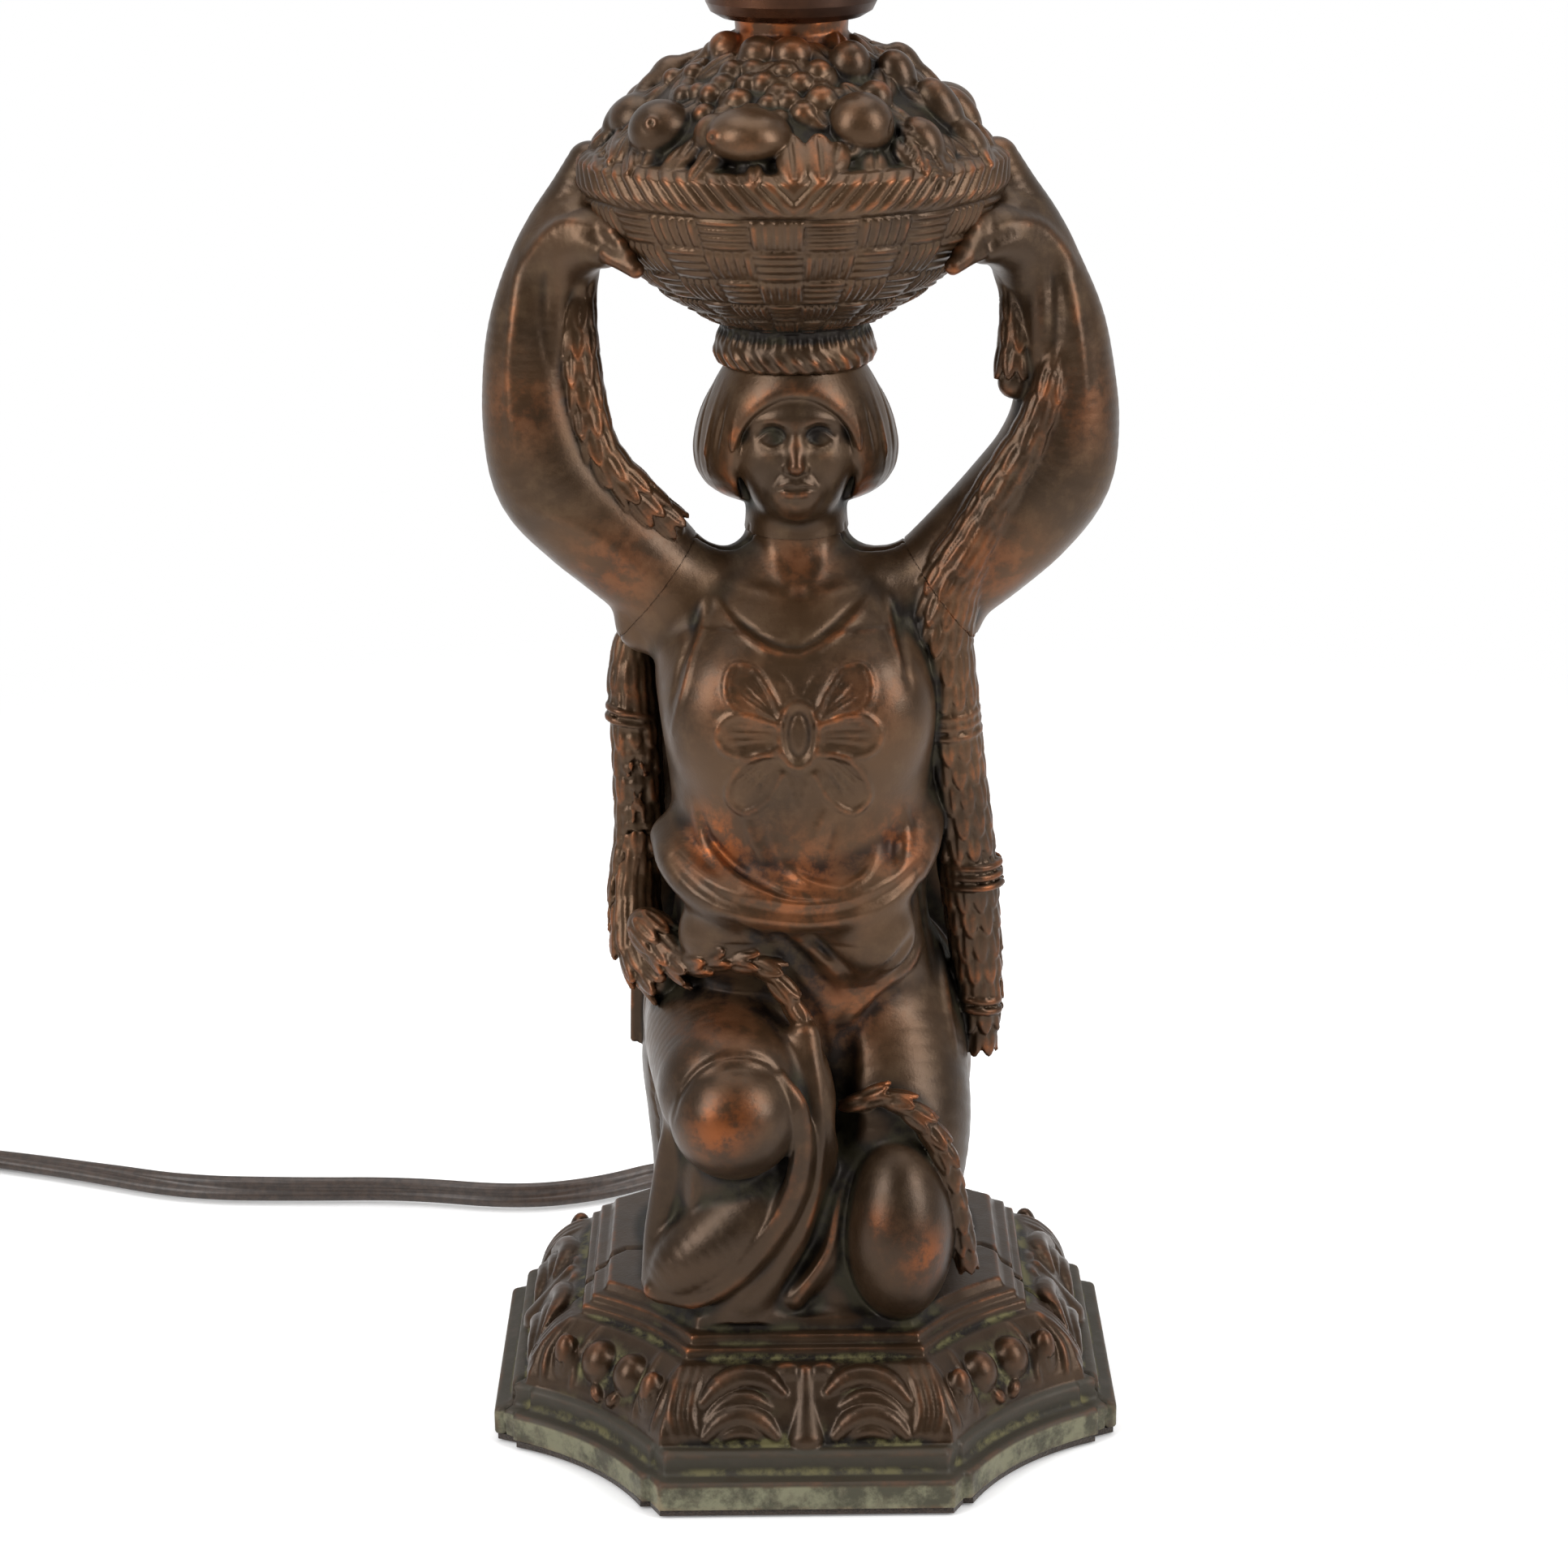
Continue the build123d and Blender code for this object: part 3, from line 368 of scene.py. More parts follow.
def cast(name, clay, nodes, keep=None, marks=()):
    """Turns clay, or the part of it where keep is negative, into a mesh that stands for CAD nodes."""
    field = clay.field
    if keep:
        part, grids = clay.window(clay.low - 1, clay.low + 1000)
        field = np.maximum(field, keep(*grids).astype(np.float32))
    grid = vdb.FloatGrid(5.0)
    grid.copyFromArray(np.ascontiguousarray(field))
    points, triangles, quads = grid.convertToPolygons(0.0, 0.0)
    place = points * clay.step + clay.low
    mesh = bpy.data.meshes.new(name)
    mesh.from_pydata((place * MM).tolist(), [], [*triangles.tolist(), *quads.tolist()])
    mesh.polygons.foreach_set("use_smooth", [True] * len(mesh.polygons))
    mesh.normals_split_custom_set_from_vertices(clay.outward(place).tolist())
    rubbed = sum(
        (m[4] * np.exp(-((place - m[:3]) ** 2).sum(1) / m[3] ** 2) for m in np.asarray(marks, float)),
        np.zeros(len(place)),
    )
    # edge and rubbed mark where the bronzing wears to copper; hollow marks the recesses, which the finish
    # paints near black as painted shade over dark patina, and where the green bloom sits
    wear_and_shade_marks = {"edge": clay.proud(place, 1.2), "hollow": clay.proud(place, 3.6), "rubbed": rubbed}
    for label, worn in wear_and_shade_marks.items():
        layer = mesh.attributes.new(label, "FLOAT", "POINT")
        layer.data.foreach_set("value", worn.astype(np.float32))
        print(name, label, np.percentile(worn, [2, 25, 50, 75, 98]).round(2))
    piece = bpy.data.objects.new(name, mesh)
    bpy.context.scene.collection.objects.link(piece)
    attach(piece, "root")
    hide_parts(*nodes)
    print(name, len(mesh.polygons), "faces")
    return piece


# %% [markdown]
# ## Plinth
#
# The foot is an eight sided stack of mouldings. One number says how far a point lies
# inside the outline, so a single profile makes every face, and the corners stay hollow.

# %% Plinth profile and plan
CELL = 0.25  # the fineness of the tables that profiles are read from
HALF = 63.5  # half of the plinth's width
# half of a main face, how it narrows inward, how deep the corners curve, and the notch
FACE_HALF, FACE_DRAW, HOLLOW, NOTCH = 31.0, 0.30, 3.4, 4.0


def polygon_distance(px, py, corners):
    """Signed distance to a closed outline, negative inside."""
    corners = np.asarray(corners, float)
    best = np.full(np.broadcast(px, py).shape, 1e9)
    inside = np.zeros(best.shape, bool)
    for (ax, ay), (bx, by) in zip(corners, np.roll(corners, -1, axis=0)):
        dx, dy = bx - ax, by - ay
        t = np.clip(((px - ax) * dx + (py - ay) * dy) / (dx * dx + dy * dy), 0, 1)
        best = np.minimum(best, (px - ax - t * dx) ** 2 + (py - ay - t * dy) ** 2)
        if dy:
            inside ^= ((ay > py) != (by > py)) & (px < dx * (py - ay) / dy + ax)
    return np.where(inside, -1, 1) * np.sqrt(best)


def swept(outline, across, z):
    """Distance to an outline of (across, height) carried round the object."""
    outline = np.asarray(outline, float)
    low = outline.min(0) - 4
    size = ((outline.max(0) + 4 - low) / CELL).astype(int) + 1
    a, b = (low[i] + CELL * np.arange(size[i]) for i in (0, 1))
    table = polygon_distance(a[:, None], b[None, :], outline).astype(np.float32)
    p = np.clip((across - low[0]) / CELL, 0, size[0] - 1.001).astype(np.float32)
    q = np.clip((z - low[1]) / CELL, 0, size[1] - 1.001).astype(np.float32)
    p, q = np.broadcast_arrays(p, q)
    i, j = p.astype(np.int32), q.astype(np.int32)
    p, q = p - i, q - j
    return (table[i, j] * (1 - p) * (1 - q) + table[i + 1, j] * p * (1 - q)
            + table[i, j + 1] * (1 - p) * q + table[i + 1, j + 1] * p * q)


def inset_at(x, y, notch=NOTCH):
    """How far a plan point lies inside the foot's outline."""
    x, y = np.abs(x), np.abs(y)
    cross = (x - y) / math.sqrt(2)
    hollow = HOLLOW * np.clip(1 - (cross / 20.0) ** 2, 0, 1)
    if not notch:
        corner = (HALF + FACE_HALF - x - y - math.sqrt(2) * hollow) / (1 + FACE_DRAW)
        return np.minimum(HALF - np.maximum(x, y), corner)
    half = notch / 2
    corner = (HALF + FACE_HALF - half - x - y - math.sqrt(2) * hollow) / (1 + FACE_DRAW)
    middle = np.minimum(HALF - notch - np.maximum(x, y), corner)
    slope = 0.5 + FACE_DRAW
    arms = [
        np.minimum(HALF - a, (FACE_HALF - half + (HALF - a) / 2 - b) / slope)
        for a, b in ((x, y), (y, x))
    ]
    return np.maximum(middle, np.maximum(*arms))


foot_outline = [(0, 1.2), (0, 6.4), (0.5, 7.0), (3.0, 7.4), (3.5, 8.0), (3.6, 11.2), (4.6, 12.0),
    (60, 12.0), (60, 1.2)]
upper_outline = [
    (6.6, 9), (6.6, 12.4), (7.0, 14.2), (8.2, 16.8), (10.2, 20.0), (12.8, 22.8), (16.0, 25.0),
    (18.0, 25.4), (18.4, 27.2), (20.0, 27.6), (20.4, 29.2), (22.6, 29.6), (23.6, 31.5),
    (70, 31.5), (70, 9),
]


# %% [markdown]
# A band of scrolls and shells runs round all eight faces of the foot. A place on it is
# a distance along the face and a height. These helpers lay a leaf or a line there.

# %% Places on the leaf band
def face_point(s, z, quarter, corner, proud=0.0):
    """A point on the leaf band of one face: s along it, z up, proud of it by a little."""
    inset = np.interp(z, [12.4, 14.2, 16.8, 20, 22.8, 25], [6.6, 7.0, 8.2, 10.2, 12.8, 16]) - proud
    if corner:
        away = (HALF + FACE_HALF - (1 + FACE_DRAW) * inset) / math.sqrt(2) - HOLLOW * (1 - (s / 19.0) ** 2)
    else:
        away = HALF - inset
    angle = math.radians(90 * quarter + (45 if corner else 0))
    c, d = math.cos(angle), math.sin(angle)
    return np.array([s * c + away * d, s * d - away * c, z])


def face_leaf(clay, start, end, width, thick, quarter, corner, rib=0.35):
    """A leaf laid on the band from one (s, z) point to another."""
    a, b = (face_point(*p, quarter, corner) for p in (start, end))
    middle = face_point((start[0] + end[0]) / 2, (start[1] + end[1]) / 2, quarter, corner)
    angle = math.radians(90 * quarter + (45 if corner else 0))
    out = np.array([math.sin(angle), -math.cos(angle), 0.75])
    clay.leaf(middle, b - a, out, np.linalg.norm(b - a), width, thick, rib)


def face_line(clay, rows, width, lift, quarter, corner, proud=0.0):
    """A raised or sunk line through (s, z) points of the band."""
    clay.stroke([face_point(s, z, quarter, corner, proud) for s, z in rows], width, lift)


# %% [markdown]
# Foot and figure share one block of clay. The foot is swept from its two profiles, then
# each face and its mirror get the same ornament, four times round.

# %% Foot and frieze
figure = Clay((-66, -66, 0), (66, 66, 263), STEP)
part, (x, y, z) = figure.window((-70, -70, 0), (70, 70, 36))
foot = swept(foot_outline, inset_at(x, y), z)
upper = swept(upper_outline, inset_at(x, y, 0), z)
figure.field[part] = smooth_min(foot, upper, 0.6)

frieze_arches = (
    ((4.6, 20.8, 1.4), (8, 22.8, 2.4), (12.5, 23.2, 2.6), (17, 21.9, 2.3), (20.2, 19.4, 1.3)),
    ((7.2, 18.6, 1.0), (10.4, 19.9, 1.8), (13.4, 20.0, 1.9), (16.6, 18.8, 1.6), (19.4, 16.4, 1.0)),
    ((5.8, 13.4, 1.4), (8.8, 16.2, 2.3), (12.8, 17.4, 2.5), (16.8, 16.2, 2.2), (19.8, 13.4, 1.3)),
    ((9.0, 13.2, 1.0), (11.0, 14.4, 1.7), (13.0, 14.7, 1.8), (15.0, 14.2, 1.6), (16.8, 13.1, 1.0)),
)
for quarter in range(4):
    for side in (-1, 1):
        # main faces: a wedge between scrolled leaves, arch within arch, and brackets
        figure.limb([(*face_point(side * 0.4, 12.8, quarter, False, -1.2), 3.4),
                     (*face_point(side * 0.2, 24.0, quarter, False, -0.4), 1.3)], 0.3)
        for rows in frieze_arches:
            figure.limb([(*face_point(side * s, z, quarter, False, -0.7), r) for s, z, r in rows],
                0.35, 12)
        face_line(figure, [(side * 1.0, 24.4), (side * 4.0, 24.8), (side * 6.5, 23.8)],
            0.8, 1.0, quarter, False)
        for shift in (0, 1.9, 3.8):
            face_line(figure, [(side * (20.6 + shift), 24.6), (side * (22.2 + shift), 21),
                               (side * (22.8 + shift), 17.5), (side * (21.8 + shift), 13.6)],
                               0.7, 1.6, quarter, False)
        # corner faces: a shell with spread ribs and a drop shaped leaf between brackets
        figure.egg(face_point(side * 4.6, 19.4, quarter, True, -1.2), (4.0, 4.0, 4.8), 0.6)
        figure.egg(face_point(side * 12.6, 18.4, quarter, True, -1.0), (2.8, 2.8, 5.6), 0.6)
        for k in range(5):
            a = math.radians(10 + 36 * k)
            face_line(figure, [(side * (4.4 + 1.2 * math.cos(a)), 15.6 + 1.2 * math.sin(a)),
                               (side * (4.4 + 4.6 * math.cos(a)), 16.6 + 7.0 * math.sin(a))],
                               0.5, -0.9, quarter, True, 1.9)
        for k in range(3):
            face_line(figure, [(side * (10.8 + 1.4 * k), 22.6), (side * (11.8 + 1.2 * k), 18),
                (side * 12.6, 13.6)], 0.45, -0.8, quarter, True, 1.5)
        face_leaf(figure, (side * 1.0, 13.2), (side * 3.8, 16.4), 2.8, 1.6, quarter, True)
        face_line(figure, [(side * 9.0, 24.6), (side * 9.6, 19), (side * 9.2, 13.8)],
            0.7, 1.6, quarter, True)
        face_line(figure, [(side * 16.0, 24.6), (side * 16.8, 19), (side * 16.0, 13.8)],
            0.7, 1.4, quarter, True)
print("plinth", figure.field.shape)

# %% [markdown]
# ## The kneeling figure
#
# The body is laid in as soft masses, then the cloth, the garlands of laurel and the
# worked lines are added on top, the way a wax model is made before casting.

# %% Body masses
torso = [
    (31.5, 0.5, 5, 33, 29), (45, 0.8, 6, 32, 27.5), (58, 1, 5, 33, 27), (72, 1, 4, 34, 27),
    (84, 0.4, 1, 31.6, 26), (92, 0.2, -2.5, 29.4, 24.6), (100, 0, -6, 27.4, 23),
    (106, 0, -8, 25.8, 21.6), (112, 0.2, -9.3, 25.2, 21.6), (120, 0.6, -10, 25.4, 21.6),
    (134, 0.7, -10.5, 26.2, 21.6), (147, 0, -10.8, 27, 21.8), (158, -0.3, -10, 27.8, 20.4),
    (166, 0, -8, 27, 17.6), (172, 0, -5, 22.8, 14.8), (177, 0, -2, 15.6, 12.6),
    (181, 0, -0.6, 10.8, 11.2), (185, 0, -0.6, 9.9, 10.8), (190, 0, -0.6, 9.6, 10.6),
]
left_limb = [
    (-16, -4, 165, 11), (-27, -4, 175.4, 11), (-34, -4, 182.4, 11.8), (-40.5, -4, 188.7, 12.4),
    (-46.6, -4.5, 196, 12.6), (-49.6, -5, 205, 11.2), (-50.9, -5, 214, 9.8),
    (-50.6, -5, 224, 8.8), (-48.6, -4.5, 234, 7.6), (-44.8, -3.5, 243, 6.9),
    (-41.0, -2, 250, 6.0), (-39, -1, 256, 4.4),
]
right_limb = [
    (17, -4, 164, 11), (29, -4, 174.4, 11), (37, -4, 181.5, 11.8), (44, -4, 188.5, 12.4),
    (49.8, -4.5, 196.4, 12.2), (52.2, -5, 205, 10.8), (52.4, -5, 215, 9.6), (51.2, -5, 225, 8.7),
    (48.6, -4.5, 234, 7.6), (44.8, -3.5, 243, 6.9), (41.0, -2, 250, 6.0), (39, -1, 256, 4.4),
]
figure.ovals(torso, 1.0)
figure.egg((-12, -20.5, 151), (13, 11, 15), 6)
figure.egg((12.6, -20.5, 151), (13, 11, 15), 6)
figure.limb([(-10, -3, 174, 7), (-22, -5, 170.5, 8.6), (-30, -5, 166, 6)], 4)
figure.limb([(10, -3, 174, 7), (22, -5, 170.5, 8.6), (30, -5, 166, 6)], 4)
figure.limb(left_limb, 3, 60)
figure.limb(right_limb, 3, 60)
print("body masses")


def pic(rows):
    """Rows given as (u, v, y, radius): seen at (u, v) in the picture, at depth y."""
    rows = np.asarray(rows, float)
    return np.column_stack([at(rows[:, 0], rows[:, 1], rows[:, 2]), rows[:, 3]])


# %% [markdown]
# One knee is raised and bare, the other is low, and the skirt falls between them. The
# forms are laid over each other in the order that a modeller would, and the opening
# under the raised knee is cut before the knee goes in.

# %% Thighs, knees and skirt
figure.limb([(-14, 0, 84, 18), (-14.5, -14, 81.5, 17), (-14.4, -25, 80, 15.6),
    (-14.2, -33, 79, 14.6)], 3)
figure.limb([(15, 0, 86, 18), (16.6, -12, 76, 17), (18.4, -20, 65, 15.5), (19, -24, 54, 13)], 4)
figure.ovals([(31.5, -12.5, -17, 17, 25), (40, -12.8, -17.5, 16.8, 24.5),
    (52, -12.8, -18, 16.4, 24.5), (64, -12.5, -18, 15.6, 24.5), (72, -12.5, -16, 14.4, 24)], 3)
figure.ovals([(31.5, 8, -20, 16, 19), (45, 8, -20, 14, 17), (58, 6, -20, 12, 15),
    (66, 4, -18, 8, 12)], 3)
# the hollow that the skirt leaves under the raised knee, and what shows in it
figure.limb(pic([(905, 1430, -47, 9.5), (902, 1462, -47, 11), (890, 1505, -46.5, 10),
    (866, 1543, -45, 8), (838, 1570, -44, 4.6)]), 1.0, away=True)
figure.limb([(-14, -18, 76.4, 12), (-13.8, -32, 76, 12.8), (-13.4, -39.8, 75.3, 12.8)], 0.5)
figure.limb([(-14, -32, 66, 9.5), (-15, -30, 56, 9.5), (-16, -28, 44, 9.5), (-17, -26, 34, 10)], 2)
figure.limb(pic([(818, 1584, -37, 3.6), (850, 1556, -36, 7.6), (900, 1518, -34.5, 10),
    (950, 1476, -33, 9.5), (972, 1440, -33, 7)]), 1.6)
hem = pic([
    (806, 1578, -34, 2.6), (812, 1520, -32, 3.0), (821, 1462, -31.5, 3.0),
    (829, 1410, -31.5, 2.8), (836, 1372, -31.5, 2.4),
])
figure.limb(hem, 2.5, 40)
hem = pic([
    (962, 1326, -42.5, 0.9), (980, 1354, -43.4, 1.7), (988, 1404, -42.8, 2.3),
    (984, 1450, -42.4, 2.5), (967, 1494, -42.2, 2.6), (940, 1535, -42.2, 2.4),
    (902, 1577, -42.2, 2.1), (853, 1603, -41, 1.6), (802, 1590, -38.6, 1.3),
])
figure.limb(hem, 1.6, 60)
figure.draw([(829, 1382), (840, 1346), (866, 1314), (908, 1300), (948, 1310), (970, 1332)], 0.7, -0.6)
figure.draw([(974, 1345), (982, 1404), (978, 1450), (960, 1492), (932, 1532), (896, 1572),
    (852, 1596)], 0.55, 0.6)
figure.limb(pic([(992, 1274, -33, 3), (1003, 1340, -35, 4), (1008, 1404, -36.5, 4.2),
    (1001, 1462, -37, 4), (983, 1515, -37.5, 3.6), (958, 1560, -38, 3), (925, 1595, -39, 2.4)]), 3.5)
figure.limb(pic([(1060, 1425, -31, 2), (1042, 1447, -33, 2.6), (1032, 1484, -35, 3),
    (1019, 1542, -36.5, 2.8), (980, 1597, -38, 2)]), 3)
figure.draw([(998, 1290), (1008, 1350), (1012, 1404), (1007, 1462), (992, 1515), (964, 1562)],
    0.9, 0.7)
figure.draw([(1066, 1418), (1044, 1447), (1033, 1484), (1020, 1542), (982, 1595)], 0.9, 0.7)
figure.draw([(1026, 1400), (1026, 1450), (1014, 1500), (996, 1550), (960, 1600)], 1.8, -1.2)
figure.egg((18.9, -33.5, 49.0), (11.4, 14.5, 19.4), 0.8, tip=(-12, 0, 0))
figure.egg(at(1034, 1376, -32), (2.6, 4.2, 3.8), 3.5, away=True)
print("skirt and knees")

# %% [markdown]
# The tunic blouses over a sash, and cloth hangs behind the figure. Folds are drawn on
# the clay from in front: a dark line sinks, a bright one is raised.

# %% Tunic, sash and the cloth behind
figure.limb(pic([
    (826, 1030, -14, 4), (838, 1062, -22, 4.4), (866, 1092, -28, 4.6), (905, 1109, -31.5, 4.8),
    (955, 1117, -33, 4.8), (1010, 1118, -33, 4.8), (1062, 1106, -31, 4.8), (1104, 1080, -27, 4.6),
    (1130, 1045, -21, 4.2), (1140, 1005, -14, 3.6),
]), 5, 60)
figure.egg(at(1072, 1150, -27), (9, 7, 8.5), 5)
figure.egg(at(905, 1150, -24), (11, 7, 8), 6)
figure.draw([(829, 1056), (856, 1086), (889, 1108), (940, 1122), (1006, 1127), (1057, 1118),
    (1107, 1092), (1139, 1060)], 1.2, -1.8)
tunic_lines = (
    ([(863, 995), (873, 1028), (896, 1059), (930, 1085), (965, 1101), (1010, 1106), (1055, 1104)],
     0.9, -0.8),
    ([(856, 990), (866, 1030), (888, 1066), (925, 1094), (960, 1108)], 1.2, 0.8),
    ([(920, 1005), (928, 1035), (940, 1062)], 0.8, 0.7),
    ([(946, 1028), (962, 1062), (993, 1086), (1030, 1096)], 1.0, 0.8),
    ([(938, 1010), (950, 1048), (975, 1078)], 1.0, -0.6),
    ([(1016, 1000), (1008, 1022), (1003, 1042)], 0.8, 0.7),
    ([(1032, 1008), (1026, 1030), (1020, 1050)], 0.9, -0.5),
    ([(1082, 1048), (1067, 1078), (1042, 1096)], 0.9, 0.7),
    ([(1094, 1020), (1100, 1050), (1096, 1078)], 1.4, -0.6),
    ([(1112, 990), (1118, 1030), (1112, 1062)], 1.2, 0.6),
    # neckline and armholes
    ([(883, 738), (897, 762), (924, 788), (953, 806), (984, 811), (1023, 790), (1053, 762),
     (1072, 738)], 0.9, 1.2),
    ([(892, 738), (907, 760), (932, 780), (958, 793), (984, 797), (1018, 777), (1045, 751),
     (1062, 732)], 0.8, -0.9),
    ([(872, 736), (866, 771), (852, 814), (840, 861), (828, 902)], 0.7, 0.8),
    ([(860, 741), (853, 780), (838, 825), (828, 870)], 0.9, -0.7),
    ([(1090, 735), (1100, 784), (1112, 828)], 0.8, 0.7),
    ([(1100, 735), (1111, 790), (1122, 850)], 1.0, -0.7),
    # collar bones and the pit of the neck
    ([(905, 718), (935, 727), (968, 735)], 1.3, 0.6),
    ([(1060, 716), (1030, 727), (998, 735)], 1.3, 0.6),
    ([(984, 722), (984, 742)], 1.6, -0.8),
    ([(945, 660), (958, 700), (976, 730)], 1.6, 0.5),
    ([(1022, 660), (1010, 700), (992, 730)], 1.6, 0.5),
    # sash folds across the hips
    ([(957, 1150), (978, 1172), (1000, 1198), (1033, 1230)], 1.3, -1.5),
    ([(1000, 1150), (1020, 1172), (1052, 1200)], 1.0, -1.0),
    ([(976, 1148), (1004, 1172), (1040, 1210)], 1.2, 0.9),
    ([(1136, 1158), (1118, 1190), (1084, 1214), (1052, 1252)], 1.3, 1.4),
    ([(1126, 1150), (1104, 1182), (1072, 1206)], 1.1, -1.1),
    ([(1112, 1215), (1080, 1235), (1050, 1275)], 1.4, -0.8),
    ([(880, 1130), (920, 1145), (960, 1180), (990, 1225)], 1.4, -0.6),
    ([(1144, 1083), (1156, 1156), (1167, 1240), (1178, 1297)], 1.3, 0.9),
    ([(1132, 1075), (1140, 1140), (1150, 1200)], 1.2, -0.7),
    # the thighs: a dip between them
    ([(1040, 1260), (1042, 1310), (1040, 1350)], 2.4, -1.6),
    ([(1000, 1236), (1014, 1280), (1022, 1330)], 1.4, -0.7),
)
for line, width, lift in tunic_lines:
    figure.draw(line, width, lift)

CAPE_BOTTOM, CAPE_TOP, CAPE_FRONT = 73, 174, 5.5
cape_rows = np.array([
    (73, 3.6, 6, 37.6, 27), (90, 3.4, 5, 37, 26), (120, 2.6, 3, 35.4, 21),
    (145, 1.6, 2, 32.6, 16), (166, 0.6, 2, 29.4, 12), (174, 0, 1, 22, 10),
])


def cape(x, y, z):
    """The cloth down the back: an oval that widens, with folds that fade upward."""
    heights = np.clip(z[0, 0], CAPE_BOTTOM, CAPE_TOP)
    sizes = hermite(cape_rows[:, 0], cape_rows[:, 1:], heights).T.astype(np.float32)
    cx, cy, a, b = sizes[:, None, None]
    bearing = np.arctan2(x - cx, y - cy)
    fold = 1 + 0.04 * np.sin(bearing * 11) * np.clip((155 - z) / 60, 0, 1)
    k = np.sqrt(((x - cx) / a) ** 2 + ((y - cy) / b) ** 2) / fold
    side = (k - 1) * np.minimum(a, b)
    ends = np.maximum(np.maximum(CAPE_BOTTOM - z, z - CAPE_TOP), CAPE_FRONT - y)
    return np.maximum(side, ends).astype(np.float32)


figure.add(cape, (-36, 0, CAPE_BOTTOM), (43, 34, CAPE_TOP), 0.8)
print("cloth")

# %% [markdown]
# Garlands of laurel lie over the arms, hang at both sides and cross the lap. Each is a
# core with rings of pointed leaves that overlap like scales.


# %% Garlands
def laurel(clay, rows, length=10.0, width=3.9, pitch=5.4, thick=1.2):
    """Rings of leaves along a core of (x, y, z, radius)."""
    clay.limb([(*r[:3], r[3] * 0.8) for r in rows], 0.8, 4 * len(rows))
    line = spline(rows, 240)
    run = np.concatenate([[0], np.cumsum(np.linalg.norm(np.diff(line[:, :3], axis=0), axis=1))])
    ring = 0
    for s in np.arange(0, run[-1] - 0.35 * length, pitch):
        i = int(np.clip(np.searchsorted(run, s), 1, len(line) - 2))
        here, radius = line[i, :3], line[i, 3]
        way = line[i + 1, :3] - line[i - 1, :3]
        way /= np.linalg.norm(way)
        a = np.cross(way, (0, 1, 0))
        a /= np.linalg.norm(a)
        b = np.cross(way, a)
        count = max(5, round(2 * math.pi * radius / (0.92 * width)))
        for j in range(count):
            angle = 2 * math.pi * (j + 0.5 * (ring % 2)) / count
            out = a * math.cos(angle) + b * math.sin(angle)
            if out[1] > 0.6:
                continue
            middle = here + out * (radius - 0.6 * thick) + way * length * 0.32
            clay.leaf(middle, way + 0.12 * out, out, length, width, thick, 0.4, 0.25)
        ring += 1


def tie(clay, centre, way, radius, strands=2):
    """A ribbon wound round a garland."""
    way = np.asarray(way, float) / np.linalg.norm(way)
    a = np.cross(way, (0, 1, 0))
    a /= np.linalg.norm(a)
    b = np.cross(way, a)
    for k in range(strands):
        mid = np.asarray(centre, float) + way * 2.1 * (k - (strands - 1) / 2)
        loop = [
            (*(mid + radius * (a * math.cos(t) + b * math.sin(t)) + 0.5 * way * math.cos(t)), 0.75)
            for t in np.linspace(0, 2 * math.pi, 25)
        ]
        clay.limb(loop, 0.4, 50)


left_garland = [
    (-31.5, 3, 168, 3), (-33, 2, 158, 4.4), (-32.6, 0, 140, 4.8), (-32.4, -1, 123, 4.8),
    (-33.4, -3, 110, 5.2), (-32.5, -8, 100, 5.2), (-27.5, -15, 95, 4.8),
]
lap_garland = pic([(795, 1140, -14, 4.6), (838, 1182, -21, 3.8), (888, 1178, -27.5, 2.8),
    (936, 1190, -30, 2.2), (972, 1232, -31.4, 1.8), (996, 1285, -32.4, 1.4)])
knee_garland = pic([(1040, 1362, -31, 1.6), (1088, 1352, -33.6, 2.2), (1130, 1376, -35, 2.4),
    (1158, 1416, -35.4, 2.4), (1172, 1462, -35, 2.4), (1183, 1512, -34.5, 2.3),
    (1190, 1548, -34, 1.8)])
right_garland = [
    (51.6, -9, 229, 2.2), (50, -11.6, 218, 3.4), (46.6, -12.4, 207, 4.2), (41, -12.2, 196, 5.0),
    (36, -11.6, 186, 5.8), (31, -11.6, 177, 6.2), (28.6, -12, 168, 6.2), (28.8, -11.8, 155, 6.2),
    (30.4, -10.4, 140, 6.0), (32.4, -9.4, 125, 5.8), (34, -8.4, 112, 5.4), (35.2, -7.6, 100, 4.9),
    (36, -7.4, 90, 4.2), (36.4, -7.6, 80, 2.6),
]
inner_garland = [
    (-41, -5, 236, 3), (-41.6, -8, 226, 3.8), (-40.8, -10, 214, 4), (-38.2, -11, 203, 4),
    (-31.5, -11, 194, 3.8), (-24.2, -9, 186.6, 3),
]
laurel(figure, left_garland)
laurel(figure, lap_garland, 8.5, 3.4, 4.8, 0.9)
laurel(figure, knee_garland, 8.0, 3.2, 4.6, 0.9)
laurel(figure, right_garland)
laurel(figure, inner_garland, 9, 3.4, 5.0, 0.9)
laurel(figure, [(1.5 - x, y + 2, z, r) for x, y, z, r in inner_garland[:3]], 9, 3.4, 5.0, 0.9)
tie(figure, at(1166, 884, -11), (0.12, 0.1, -1), 6.3, 3)
tie(figure, at(1198, 1072, -9), (0.1, 0, -1), 5.7, 3)
tie(figure, at(1207, 1232, -8), (0.05, 0, -1), 4.2, 2)
tie(figure, at(778, 880, 0), (-0.1, 0, -1), 4.7, 2)
print("garlands")

# %% [markdown]
# The hands hold the bowl under its rim. Each is a palm with four fingers laid round it.

